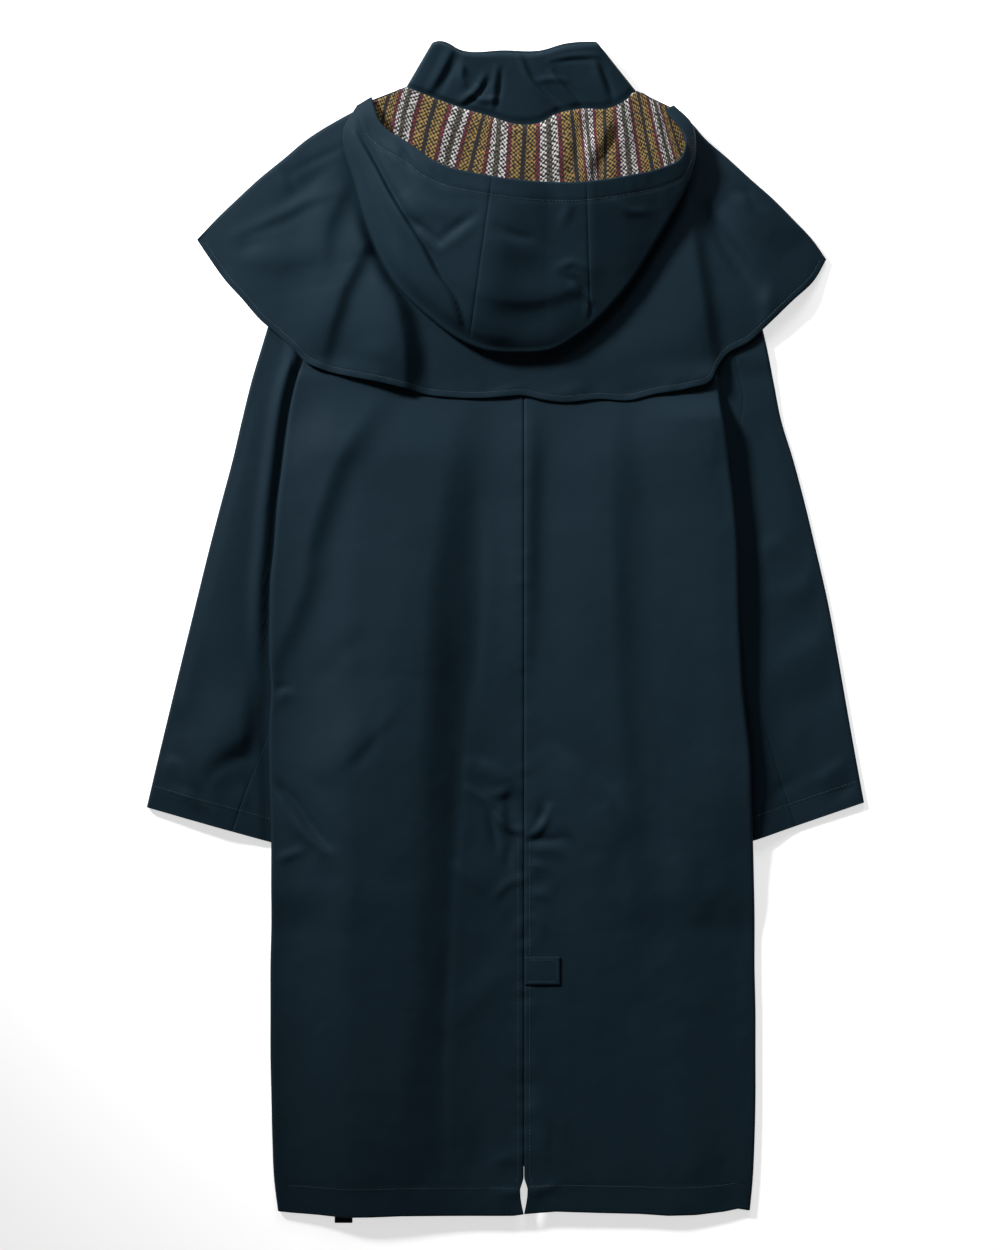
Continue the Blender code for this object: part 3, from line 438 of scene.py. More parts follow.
def pattern_place(nodes, links):
    """The place on the flat pattern: the vector, then its number across and its number down."""
    place = nodes.new("ShaderNodeUVMap")
    place.uv_map = "pattern"
    split = nodes.new("ShaderNodeSeparateXYZ")
    links.new(place.outputs[0], split.inputs[0])
    return place.outputs[0], split.outputs[0], split.outputs[1]


def noise(nodes, links, place, scale, detail=2.0):
    """One noise over the pattern; scale is how often it changes in a metre."""
    node = nodes.new("ShaderNodeTexNoise")
    node.inputs["Scale"].default_value = scale
    node.inputs["Detail"].default_value = detail
    links.new(place, node.inputs["Vector"])
    return node.outputs["Fac"]


def sine(nodes, links, value, turn):
    """A wave: the sine of a value times a turn."""
    return math_node(nodes, links, "SINE", math_node(nodes, links, "MULTIPLY", value, turn))


def bump(nodes, links, height, distance, strength):
    """One Bump node that tilts the surface by a height of the given distance in metres."""
    node = nodes.new("ShaderNodeBump")
    node.inputs["Distance"].default_value = distance
    node.inputs["Strength"].default_value = strength
    links.new(height, node.inputs["Height"])
    return node


def shell_finish(name, colour, roughness=0.62, weave=0.00007):
    """The shell's cloth: diagonal weave, handled tone and a bump from both, on the flat pattern."""
    made, nodes, links, shader = new_finish(name, colour, roughness, sheen=SHEEN, specular=SPECULAR)
    place, across, down = pattern_place(nodes, links)
    thread = 1.0 / WEAVE_PITCH
    ribs = sine(nodes, links, math_node(nodes, links, "ADD", across, down), math.tau * thread)
    picks = sine(nodes, links, across, math.tau * thread * 1.7)
    woven = math_node(nodes, links, "MULTIPLY_ADD", picks, 0.35, ribs)
    tone = noise(nodes, links, place, scale=9.0, detail=3.0)
    grain = noise(nodes, links, place, scale=420.0)
    dull = tuple(0.88 * value for value in colour)
    bright = tuple(min(1.0, 1.12 * value) for value in colour)
    mixed = mix_colour(nodes, links, tone, dull, bright)
    flecked = mix_colour(nodes, links, math_node(nodes, links, "MULTIPLY", grain, 0.25), mixed,
                         tuple(1.5 * value for value in colour))
    links.new(flecked, shader.inputs["Base Color"])
    rough = math_node(nodes, links, "MULTIPLY_ADD", tone, 0.12, roughness - 0.06)
    links.new(rough, shader.inputs["Roughness"])
    crease = noise(nodes, links, place, scale=65.0, detail=3.0)
    soft = bump(nodes, links, crease, distance=0.0006, strength=0.4)
    fine = bump(nodes, links, woven, distance=weave, strength=0.12)
    links.new(soft.outputs[0], fine.inputs["Normal"])
    links.new(fine.outputs[0], shader.inputs["Normal"])
    return made


WEAVE_PITCH = 0.0007
SHEEN, SPECULAR = 0.0, 0.045
NAVY = (0.0069, 0.0162, 0.0244)
shell_cloth = shell_finish("navy_shell_cloth", NAVY)
print("navy, linear:", NAVY, " weave pitch (mm):", WEAVE_PITCH / MM)

# %% [markdown]
# The lining is a coarse, soft wool mix with stripes that run down from the neck seam. A real weaver
# writes the stripes as a thread chart: colour and width, over and over. The same chart becomes a colour
# ramp with hard steps, read across the pattern. Dark flecks come from a noise, and two crossed waves add
# painted shade in the hollows between the yarns, because the yarn is thick enough to see.

# %% Thread chart of the lining
CREAM, OLIVE, WINE = (0.46, 0.44, 0.44), (0.080, 0.078, 0.058), (0.125, 0.018, 0.030)
GOLD, INK = (0.245, 0.160, 0.050), (0.014, 0.015, 0.021)
CHART = ((CREAM, 6.5), (OLIVE, 5.5), (CREAM, 6.5), (WINE, 4.5), (GOLD, 10.0), (INK, 4.5), (GOLD, 10.0),
         (WINE, 4.5))
REPEAT = sum(width for colour, width in CHART)


def lining_finish(name):
    """Stripes read from the chart by the UV across, with dark flecks and painted shade between the yarns."""
    made, nodes, links, shader = new_finish(name, GOLD, 0.9, sheen=0.2, specular=0.15)
    place, across, down = pattern_place(nodes, links)
    wobble = noise(nodes, links, place, scale=500.0)
    moved = math_node(nodes, links, "MULTIPLY_ADD", wobble, 0.0022, across)
    share = math_node(nodes, links, "FRACT", math_node(nodes, links, "DIVIDE", moved, REPEAT * MM))
    ramp = nodes.new("ShaderNodeValToRGB")
    ramp.color_ramp.interpolation = "CONSTANT"
    edge = 0.0
    for number, (colour, width) in enumerate(CHART):
        stop = ramp.color_ramp.elements[0] if number == 0 else ramp.color_ramp.elements.new(edge / REPEAT)
        stop.color = (*colour, 1.0)
        edge += width
    ramp.color_ramp.elements.remove(ramp.color_ramp.elements[-1])
    links.new(share, ramp.inputs[0])
    crossed = math_node(nodes, links, "MULTIPLY", sine(nodes, links, across, math.tau / YARN_PITCH),
                        sine(nodes, links, down, math.tau / YARN_PITCH))
    fleck = noise(nodes, links, place, scale=300.0, detail=1.0)
    height = math_node(nodes, links, "MULTIPLY_ADD", crossed, 0.3, fleck)
    # Painted shade between the yarns, and dark flecks: where the yarn's height is low the stripes turn near
    # black.
    shade = math_node(nodes, links, "MULTIPLY_ADD", height, 3.6, -1.45)
    shade = math_node(nodes, links, "MAXIMUM", shade, 0.0)
    shade = math_node(nodes, links, "MINIMUM", shade, 1.0)
    mixed = mix_colour(nodes, links, shade, (0.012, 0.011, 0.010), ramp.outputs[0])
    links.new(mixed, shader.inputs["Base Color"])
    yarn = bump(nodes, links, height, distance=0.0005, strength=0.8)
    links.new(yarn.outputs[0], shader.inputs["Normal"])
    return made


YARN_PITCH = 0.0046
lining_cloth = lining_finish("striped_wool_lining")
thread_finish = new_finish("navy_thread", (0.034, 0.054, 0.070), 0.45, specular=0.4)[0]
strap_finish = shell_finish("dark_strap_webbing", (0.006, 0.009, 0.013), 0.6, weave=0.0002)
print("stripe repeat (mm):", REPEAT, " stripes:", len(CHART))

# %% [markdown]
# ## Heights of the layers
# A laid coat is a stack: the cape's fronts on the surface, the fronts of the coat on them, the sleeves
# half under the body, the backs on top, then the cape and the hood. Each height function below gives the
# middle of one layer. Away from the seams the middles stay apart, though the lining presses into the hood
# in a few creases. Where pieces are sewn together, at the sides, the armholes, the neck and the hood,
# their edges still run a little into each other.


# %% Heights of the stack
def over_cape(x, u):
    """1 where a piece lies on the cape's fronts, 0 past their hem."""
    return smooth(u - line_at(CAPE_HEM, x), -125.0, -62.0)


def over_sleeve(x, u, begin=-60.0, end=-28.0):
    """1 where a layer lies on a covered sleeve, 0 past its inner edge and its cuff.

    The ramp between them begins and ends at these distances from the inner edge.
    """
    lift = np.zeros(np.shape(x))
    for side, table in ((-1, SLEEVE_LEFT), (1, SLEEVE_RIGHT)):
        inner = np.interp(u, table[::-1, 3], table[::-1, 2])
        lift = np.maximum(lift, smooth((x - inner) * side, begin, end))
    return lift * smooth(u, 290.0, 345.0) * (1.0 - smooth(u, 880.0, ARMHOLE_FOOT))


def front_height(x, u):
    """Middle of the fronts: the lowest cloth, raised over the cape's fronts and a covered sleeve."""
    return FLOOR + ON_CAPE * over_cape(x, u) + ON_SLEEVE * over_sleeve(x, u)


def draped_height(x, u):
    """Like front_height, but bridging the sleeves' inner edges softly, as a taut back does."""
    return FLOOR + ON_CAPE * over_cape(x, u) + ON_SLEEVE * over_sleeve(x, u, -150.0, -20.0)


def outside_hood(x, u):
    """Distance to the nearest piece of the hood's rolled edge: above 0 outside it, below 0 under it."""
    low = HOOD_ROLL_LINE[1:-2]
    under = (x > low[0][0]) & (x < low[-1][0]) & (u > line_at(low, x))
    line = along(HOOD_ROLL_LINE, np.linspace(0, 1, 60))
    gap = np.full(np.shape(x), np.inf)
    for (ax, au), (bx, bu) in zip(line[:-1], line[1:]):
        share = ((x - ax) * (bx - ax) + (u - au) * (bu - au)) / ((bx - ax) ** 2 + (bu - au) ** 2)
        share = np.clip(share, 0.0, 1.0)
        gap = np.minimum(gap, np.hypot(x - ax - share * (bx - ax), u - au - share * (bu - au)))
    return gap * np.where(under, -1.0, 1.0)


# Folds of the backs: width left, width right, height, then the line from its upper end.
BACK_FOLDS = fold_lines(
    (120, 30, 11.5, (-76, 854), (-91, 753), (-103, 668), (-107, 583), (-113, 498), (-118, 413), (-121, 350)),
    (150, 46, 13.5, (-98, 562), (-104, 477), (-109, 413), (-117, 329), (-127, 223), (-137, 117), (-146, 16)),
    (10, 5, -1.0, (-61, 551), (-68, 456), (-73, 371), (-78, 286), (-83, 201), (-85, 117), (-85, 42)),
    (10, 34, 0.8, (-49, 551), (-55, 456), (-63, 371), (-69, 286), (-73, 201), (-75, 117), (-75, 42)),
    (16, 8, -1.6, (-49, 753), (-47, 668), (-51, 583), (-57, 519)),
    (14, 9, -2.2, (-155, 528), (-164, 493), (-184, 469)),
    (12, 10, -1.0, (-161, 606), (-184, 596), (-211, 567), (-231, 551)),
    (22, 30, 3.4, (-267, 464), (-237, 469), (-206, 473), (-172, 485)),
    (26, 9, 3.0, (-140, 528), (-152, 517), (-167, 500), (-191, 477)),
    (12, 5, 2.2, (-225, 449), (-210, 428), (-195, 403)),
    (14, 12, 2.0, (-229, 373), (-214, 373), (-201, 379)),
    (20, 14, 1.6, (-206, 394), (-190, 360), (-184, 297)),
    (16, 10, -1.5, (-264, 234), (-244, 188), (-226, 130), (-205, 90), (-179, 61)),
    (34, 13, 6.2, (6, 863), (5, 799), (3, 752), (2, 703), (1, 647), (0, 594)),
    (70, 20, 5.4, (89, 848), (91, 736), (91, 655), (94, 575), (98, 511), (100, 435)),
    (60, 24, 3.6, (100, 456), (104, 382), (110, 297)),
    (16, 14, 2.6, (199, 816), (210, 689), (212, 594), (215, 466), (214, 371)),
    (26, 12, 2.4, (22, 472), (54, 435), (81, 382)),
    (20, 14, 2.2, (54, 466), (81, 435), (93, 384)),
    (14, 22, -2.0, (65, 482), (81, 445), (89, 428)),
    (16, 10, 2.0, (165, 382), (187, 320)),
    (10, 16, 2.0, (231, 382), (210, 350), (189, 320)),
    (10, 16, 1.2, (160, 223), (189, 220), (216, 227)),
    (18, 26, 2.6, (176, 95), (180, 64), (187, 32)),
    (5, 4, 1.6, (4, 23), (20, 24), (36, 29)),
    (7, 5, 1.5, (-32, 51), (-20, 57), (-7, 56)),
    (5, 4, 1.3, (-28, 21), (-15, 20), (-4, 21)),
    (14, 8, 1.8, (13, 117), (21, 85), (17, 53)),
    (22, 14, 2.2, (22, 138), (34, 95), (38, 40)),
    (16, 12, -2.0, (-45, 95), (-42, 30)),
    (20, 14, 2.0, (-18, 255), (-47, 228), (-75, 201)),
    (22, 16, 2.6, (-61, 382), (-42, 358), (-18, 334)),
    (40, 40, 2.0, (144, 689), (153, 604), (144, 519)))
LEFT_SHOULDER_FOLD = fold_lines(
    (110, 17, 9.5, (-144, 895), (-159, 861), (-180, 827), (-200, 795), (-212, 763), (-223, 731),
     (-231, 700), (-235, 668), (-245, 636), (-260, 604), (-271, 575)))
SMALL_CREASES = fold_lines(
    (4, 4, -3.0, (-273, 465), (-258, 450), (-243, 435), (-227, 413), (-206, 387)),
    (10, 4, 3.6, (-273, 452), (-260, 440), (-246, 422), (-231, 401), (-214, 382)),
    (5, 4, 2.6, (-242, 413), (-235, 405), (-220, 390), (-206, 379)),
    (4, 4, 2.2, (-263, 372), (-250, 376), (-233, 382)),
    (12, 3, 3.2, (-276, 547), (-263, 548), (-248, 549)),
    (4, 4, -1.8, (-276, 554), (-263, 553), (-250, 553)),
    (3.5, 3, 4.0, (-59, 448), (-47, 440), (-36, 430), (-28, 417), (-16, 405), (-2, 402)),
    (4, 3, 3.2, (2, 396), (12, 401), (20, 409), (25, 420), (28, 428)),
    (14, 6, 4.2, (-49, 475), (-36, 469), (-23, 460), (-11, 449)),
    (5, 4, 2.0, (-38, 442), (-25, 442), (-13, 449)),
    (8, 9, -2.6, (-14, 443), (-16, 428), (-13, 413)),
    (8, 8, -2.6, (10, 420), (17, 418), (22, 428)),
    (4, 4, -2.6, (-36, 423), (-33, 407), (-28, 382)),
    (7, 4, 3.0, (-23, 428), (-22, 416), (-18, 407)),
    (4, 5, 2.6, (25, 428), (33, 416), (47, 396)),
    (6, 4, -2.4, (6, 393), (22, 393), (45, 395)),
    (9, 5, 2.4, (4, 384), (17, 386), (34, 382)),
    (16, 6, 3.0, (38, 485), (53, 473), (70, 456), (87, 437)),
    (5, 5, 2.2, (6, 365), (17, 365), (25, 360)),
    (5, 5, -1.8, (6, 350), (17, 348), (23, 343)),
    (5, 4, 2.0, (6, 336), (17, 335), (24, 331)),
    (5, 5, -2.0, (-13, 386), (-17, 373), (-13, 360)),
    (5, 4, 1.8, (-4, 350), (-17, 346), (-30, 333)),
    (6, 5, 1.8, (-72, 365), (-59, 354), (-45, 339)),
    (5, 4, 1.6, (6, 312), (17, 305), (22, 297)))
print("folds on the backs:", len(BACK_FOLDS) + len(SMALL_CREASES))

# %% [markdown]
# Where the two backs are sewn together the needle pulls the cloth into small puckers. They are worked out
# as waves that run along the seam and die away beside it.


# %% Height of the backs
def puckers(distance, along_seam, reach, height, seed, size=9.0):
    """Waves along a seam, times exp(-(distance / reach)^2)."""
    wave = waves(distance * 0.6, along_seam, size * 1.6, size, seed)
    return height * wave * np.exp(-(distance / reach) ** 2)


def edge_lift(x, u):
    """What lifts the sides: the left shoulder's fold, and a rise over the last 100 mm at the right."""
    beside = smooth(x - body_edge(1, u), -100.0, -8.0)
    rise = RIGHT_EDGE_LIFT * beside * smooth(u, 330.0, 480.0) * (1.0 - smooth(u, 835.0, 870.0))
    fold = relief(LEFT_SHOULDER_FOLD, x, u) * (1.0 - smooth(u, *UNDER_CAPE))
    at_rim = 1.0 - smooth(x - body_edge(-1, u), 5.0, 50.0)
    return rise + fold * (1.0 - smooth(u, 780.0, 862.0) * at_rim)


def back_height(x, u):
    """Middle of the backs: the fronts' height, the body's thickness, and the folds."""
    edge = np.minimum(x - body_edge(-1, u), body_edge(1, u) - x)
    inward = smooth(edge, 3.0, 90.0)
    plain = 1.0 - smooth(u, *UNDER_CAPE)
    folds = relief(BACK_FOLDS, x, u)
    small = relief(SMALL_CREASES, x, u)
    loft = 0.6 + (BODY_LOFT + np.maximum(folds, -3.4)) * plain
    body = draped_height(x, u) + BODY_FLAT + inward * loft
    body += edge_lift(x, u)
    near_edge = smooth(edge, 2.0, 14.0)
    seam = np.abs(x)
    fine = handled(x, u, 11) * (0.8 + 0.6 * smooth(u, 560, 380)) + small
    fine += puckers(seam, u, 10.0, 0.5 + 0.6 * smooth(u, 520, 430), 31)
    fine += puckers(seam - 12.0, u, 9.0, 0.9 * smooth(u, 470, 420), 37, 22.0)
    side = 0.5 * waves(x, u, 14, 20, 41) * np.exp(-(edge / 18.0) ** 2)
    hem = groove(u - 28.0, 0.16) + 0.35 * waves(x, u, 16, 30, 43) * np.exp(-((u - 24.0) / 18.0) ** 2)
    return body + near_edge * plain * (fine + side) + groove(seam, 0.9, 1.6) + near_edge * hem


def front_level(x, u):
    """front_height plus a fifth of the waves of handled cloth."""
    return front_height(x, u) + 0.2 * handled(x, u, 51)


print("height of the back's middle (mm):", back_height(np.array(-120.0), np.array(500.0)).round(2))

# %% [markdown]
# ## The backs and the fronts
# Each back is one long panel. It starts at the middle seam, or at the folded edge of the vent below, runs
# out to the side and rolls down to the side seam in a quarter turn. The fronts are the same panels turned
# over: they roll up, and the right one laps under the left.


# %% Body panels
def slit(u):
    """Half width of the opening at the foot of the vent."""
    return np.interp(u, [row[0] for row in VENT_SLIT], [row[1] for row in VENT_SLIT])


def body_grid(side, start, level, top_line, roll, rows, columns):
    """Points from the middle to the rolled side edge.

    Across: straight to the flat width, then x = R sin(angle) and z = -R (1 - cos(angle)) round the roll.
    """
    rows = rows[:, None]
    start = start(rows)
    edge = body_edge(side, rows)
    turn = (math.pi / 2) * (1.0 - smooth(rows, UNDERARM, ARMHOLE_FOOT))
    flat = np.abs(edge - start) - FOLD_RADIUS * np.sin(turn)
    run = FOLD_RADIUS * math.pi / 2
    total = flat + FOLD_RADIUS * turn
    steps = np.linspace(0, 1, 7)[None, 1:]
    place = np.concatenate([columns[None, :] * (total - run), total - run + steps * run], axis=1)
    bend = np.clip((place - flat) / FOLD_RADIUS, 0.0, turn)
    straight = np.minimum(place, flat)
    unrolled = np.where(turn < 1e-6, place - straight, 0.0)
    across = start + side * (straight + unrolled + FOLD_RADIUS * np.sin(bend))
    stretch = np.clip((rows - ARMHOLE_FOOT) / (SHOULDER - ARMHOLE_FOOT), 0.0, 1.0)
    height = rows + stretch * (top_line(across) - SHOULDER)
    height = height - line_at(HEM_SAG, across) * (1.0 - smooth(rows, 0.0, 90.0))
    drop = FOLD_RADIUS + (edge_lift(edge, rows) if roll > 0 else 0.0)
    z = level(across, height) - roll * drop * (1.0 - np.cos(bend))
    return np.stack([across, height, z], axis=-1)


def back_top(x):
    """Upper end of the backs at x: the neckline, from shoulder to shoulder."""
    return line_at(NECKLINE, x)


def front_top(x):
    """Upper end of the fronts at x: the lower neckline in the middle, the back's beside it."""
    inside = (x > FRONT_NECK[0][0]) & (x < FRONT_NECK[-1][0])
    return np.where(inside, line_at(FRONT_NECK, x), line_at(NECKLINE, x))


def centre_edge(side):
    """The middle edge of a back, for each row: half the seam's gap plus half the slit."""
    return lambda rows: side * (SEAM_GAP / 2 + slit(rows))


HEM_STITCH, VENT_STITCH, VENT_TOP = 28.0, 6.0, 397.0
HEM_EDGE, HEM_DROP = 1.2, 0.8  # the last of the hem, and how far its edge turns down
back_rows = levels(SHOULDER, 3.6, lines=(HEM_STITCH,))
back_columns = levels(BODY_WIDTH, 3.4, ends=(True, False)) / BODY_WIDTH
backs = {}
for side, name in ((-1, "back_left"), (1, "back_right")):
    grid = body_grid(side, centre_edge(side), back_height, back_top, 1, back_rows, back_columns)
    grid[..., 2] -= HEM_DROP * (1 - np.minimum(back_rows[:, None], HEM_EDGE) / HEM_EDGE) ** 2
    backs[side] = grid
    cloth("raincoat_" + name, grid, name)

# %% Fronts
front_rows = levels(SHOULDER, 9.0)
front_columns = levels(BODY_WIDTH, 9.0, ends=(True, False)) / BODY_WIDTH


def right_start(rows):
    """Middle edge of the right front: back from the centre at its foot, past the centre above."""
    return PARTING - (PARTING + LAP) * smooth(rows, 38.0, 62.0)


def left_start(rows):
    """Middle edge of the left front: the right one's, mirrored."""
    return -PARTING + (PARTING + LAP) * smooth(rows, 38.0, 62.0)


def lapped_level(x, u):
    """The left front climbs onto the right one where they lap."""
    return front_level(x, u) + 1.6 * smooth(x, -LAP - 60.0, -LAP - 20.0) * smooth(u, 10.0, 60.0)


for side, name, start, level in ((1, "front_right", right_start, front_level),
                                 (-1, "front_left", left_start, lapped_level)):
    grid = body_grid(side, start, level, front_top, -1, front_rows, front_columns)
    cloth("raincoat_" + name, grid, name, outward_up=False)

# %% [markdown]
# ## Sleeves
# A two-piece sleeve laid flat is a tube pressed nearly shut. Each section is a ring: out along the lower
# wall, half a turn round the outer edge, back over the top and round the inner edge. The free part is
# fuller than the part that lies under the body.

# %% Sleeve folds
SLEEVE_FOLDS = fold_lines(
    (36, 15, 4.8, (-269, 536), (-288, 511), (-314, 497), (-335, 480), (-346, 445)),
    (34, 16, 3.2, (-282, 566), (-290, 536), (-297, 509), (-305, 481)),
    (8, 7, -1.6, (-282, 481), (-305, 477), (-324, 466), (-335, 445)),
    (12, 6, 3.0, (-386, 475), (-367, 473), (-354, 456), (-348, 435)),
    (8, 6, 2.2, (-369, 445), (-348, 435), (-329, 420)),
    (5, 5, -1.8, (-293, 454), (-288, 439), (-284, 428)),
    (9, 7, 1.6, (-316, 469), (-331, 445), (-324, 428)),
    (9, 9, 1.4, (-290, 447), (-301, 428)),
    (26, 26, 2.0, (-290, 837), (-310, 731), (-328, 636), (-339, 551)),
    (20, 14, 1.6, (-354, 604), (-360, 551), (-356, 509)),
    (14, 10, -1.6, (-367, 536), (-358, 519), (-346, 502)),
    (24, 20, 2.4, (267, 837), (282, 753), (293, 668)),
    (14, 10, 2.6, (248, 697), (263, 704), (280, 710)),
    (8, 6, -2.0, (278, 714), (293, 702), (299, 683)),
    (14, 10, 2.4, (271, 655), (293, 659), (305, 674)),
    (22, 18, -2.2, (261, 634), (293, 623), (312, 642)),
    (24, 14, 3.0, (267, 570), (293, 587), (320, 604)),
    (20, 16, -2.0, (282, 534), (308, 541), (331, 562)),
    (10, 6, 2.2, (301, 452), (324, 464), (343, 479)),
    (6, 8, -2.0, (264, 440), (273, 447), (285, 452)),
    (6, 8, -1.8, (328, 436), (340, 445), (354, 452)),
    (16, 12, 1.8, (293, 519), (288, 488), (299, 466)))


def clear_of_body(x, u, side):
    """1 on the free part of the sleeve, 0 under the body."""
    return smooth((x - body_edge(side, u)) * side, 9.0, 32.0)


# %% Sleeve rings
# Left sleeve (-1) and right sleeve (1):
BACK_SEAM = {-1: 0.62, 1: 0.50}             # place of the back seam, as a share of the way across
PUFF_RAMP = {-1: 90.0, 1: 45.0}             # distance from the outer edge over which it grows full
RISE = {-1: (3.0, 14.0), 1: (90.0, 160.0)}  # distances from the body between which the walls part
PUFF = {-1: (6.0, 62.0), 1: (60.0, 110.0)}  # distances from the body between which it grows full
FRONT_SEAM = 0.72       # place of the seam on the lower wall
LOWER_COLUMNS = 16      # columns from that seam to the outer edge
CUFF_STITCH = 24.0


def sleeve_grid(table, side, seed):
    """Rings along the sleeve; each ring is a flat loop whose two ends are half circles."""
    shares = levels(SLEEVE_LENGTH, 4.0, lines=(SLEEVE_LENGTH - CUFF_STITCH,)) / SLEEVE_LENGTH
    outer, inner = along(table[:, :2], shares), through(np.linspace(0, 1, len(table)), table[:, 2:],
                                                        section_of(table, shares))
    into_armhole = smooth(inner[:, 1], 842.0, 860.0) * (1.0 - smooth(inner[:, 1], 884.0, 910.0))
    inner[:, 0] -= side * (2.2 * smooth(inner[:, 1], 870.0, 895.0) + 8.0 * into_armhole)
    width = np.linalg.norm(inner - outer, axis=1)[:, None]
    way = unit(inner - outer)
    turn = np.radians(np.arange(22.5, 158.0, 22.5))[None, :]
    rim = BODY_FLAT / 2
    seam = BACK_SEAM[side]
    tops = np.linspace(0.0, 1.0, 42)
    beside = np.array((-2.4, -1.4, -0.7, 0.0, 0.7, 1.4, 2.4)) / 150.0
    tops = np.sort(np.concatenate([tops[np.abs(tops - seam) > 0.02], seam + beside]))
    seam_place = int(np.argmin(np.abs(tops - seam)))
    seam_column = LOWER_COLUMNS + turn.shape[1] + seam_place

    def space(place):
        """Space between the walls at a place across."""
        plan = outer[:, None] + way[:, None] * place[..., None]
        clear = (plan[..., 0] - body_edge(side, plan[..., 1])) * side
        raised = np.maximum(smooth(clear, *RISE[side]), smooth(plan[..., 1], 880.0, ARMHOLE_FOOT))
        puff = smooth(place, 0.0, PUFF_RAMP[side]) * smooth(width - place, 0.0, 30.0)
        puff = puff * smooth(clear, *PUFF[side]) * smooth(shares * SLEEVE_LENGTH, 0.0, 50.0)[:, None]
        flat = SLEEVE_FLAT[side]
        return flat + (BODY_FLAT - flat) * raised + SLEEVE_LOFT[side] * puff

    inner_rim = space(width)[:, :1] / 2
    low = np.linspace(1.0, 0.0, LOWER_COLUMNS)[None, :] * (FRONT_SEAM * width - rim) + rim
    high = rim + tops[None, :] * (width - inner_rim - rim)
    back = FRONT_SEAM * width - width + inner_rim
    tail = width - inner_rim + np.linspace(0.0, 1.0, 8)[None, :] * back
    gap = space(high)
    outside = rim - rim * np.sin(turn) + 0 * width
    inside = width - inner_rim + inner_rim * np.sin(turn)
    place = np.concatenate([low, outside, high, inside, tail], axis=1)
    rise = np.concatenate([0 * low, gap[:, :1] / 2 * (1 - np.cos(turn)), gap,
                           gap[:, -1:] / 2 * (1 + np.cos(turn)), 0 * tail], axis=1)
    plan = outer[:, None] + way[:, None] * place[..., None]
    x, u = plan[..., 0], plan[..., 1]
    on_top = smooth(rise, 1.0, 5.0) * smooth(place, 2.0, 14.0) * smooth(width - place, 2.0, 14.0)
    free = clear_of_body(x, u, side) * on_top
    folds = relief(SLEEVE_FOLDS, x, u) + 0.6 * handled(x, u, seed)
    cuff = (1.0 - shares)[:, None] * SLEEVE_LENGTH
    puckers = waves(x, u, 13, 18, seed + 7) * np.exp(-((cuff - 18) / 16) ** 2)
    fine = groove(cuff - CUFF_STITCH, 0.14) + 0.5 * puckers
    z = FLOOR + ON_CAPE * over_cape(x, u) + rise + free * (folds + fine)
    clear = (x - body_edge(side, u)) * side
    if side < 0:
        z += on_top * 4.5 * np.exp(-((clear - 12.0) / 8.0) ** 2) * smooth(u, 540.0, 660.0)
    else:
        hump = np.exp(-((clear - 5.0) / np.where(clear < 5.0, 3.0, 25.0)) ** 2)
        hump *= 9.0 * (1.0 - smooth(u, 520.0, 640.0))
        z += on_top * hump * smooth(width - place, 3.0, 9.0)
    z += free * groove(place - high[:, seam_place][:, None])
    return np.concatenate([plan, z[..., None]], axis=-1), seam_column


def section_of(table, shares):
    """The section number, from 0 to 1, that a share of the outer edge's length falls on."""
    length = np.concatenate([[0.0], np.cumsum(np.linalg.norm(np.diff(table[:, :2], axis=0), axis=1))])
    return np.interp(shares, length / length[-1], np.linspace(0, 1, len(table)))


sleeves = []
for side, name, table in ((-1, "sleeve_left", SLEEVE_LEFT), (1, "sleeve_right", SLEEVE_RIGHT)):
    grid, seam_column = sleeve_grid(table, side, 60 + side)
    sleeves.append(grid)
    for part, columns, known in (("top", slice(0, seam_column + 1), 0.5),
                                 ("under", slice(seam_column, None), 0.05)):
        cloth(f"raincoat_{name}_{part}", grid[:, columns], f"{name}_{part}",
              known=known)

# %% [markdown]
# ## The cape
# The shoulder cape is one curved panel over the back and two flat ones on the surface, sewn together
# along the shoulder edges. It hangs free at its hem, so it has the deepest folds of the coat. Its grid is
# a Coons patch: it blends the four edges, which keeps the hem an even curve.

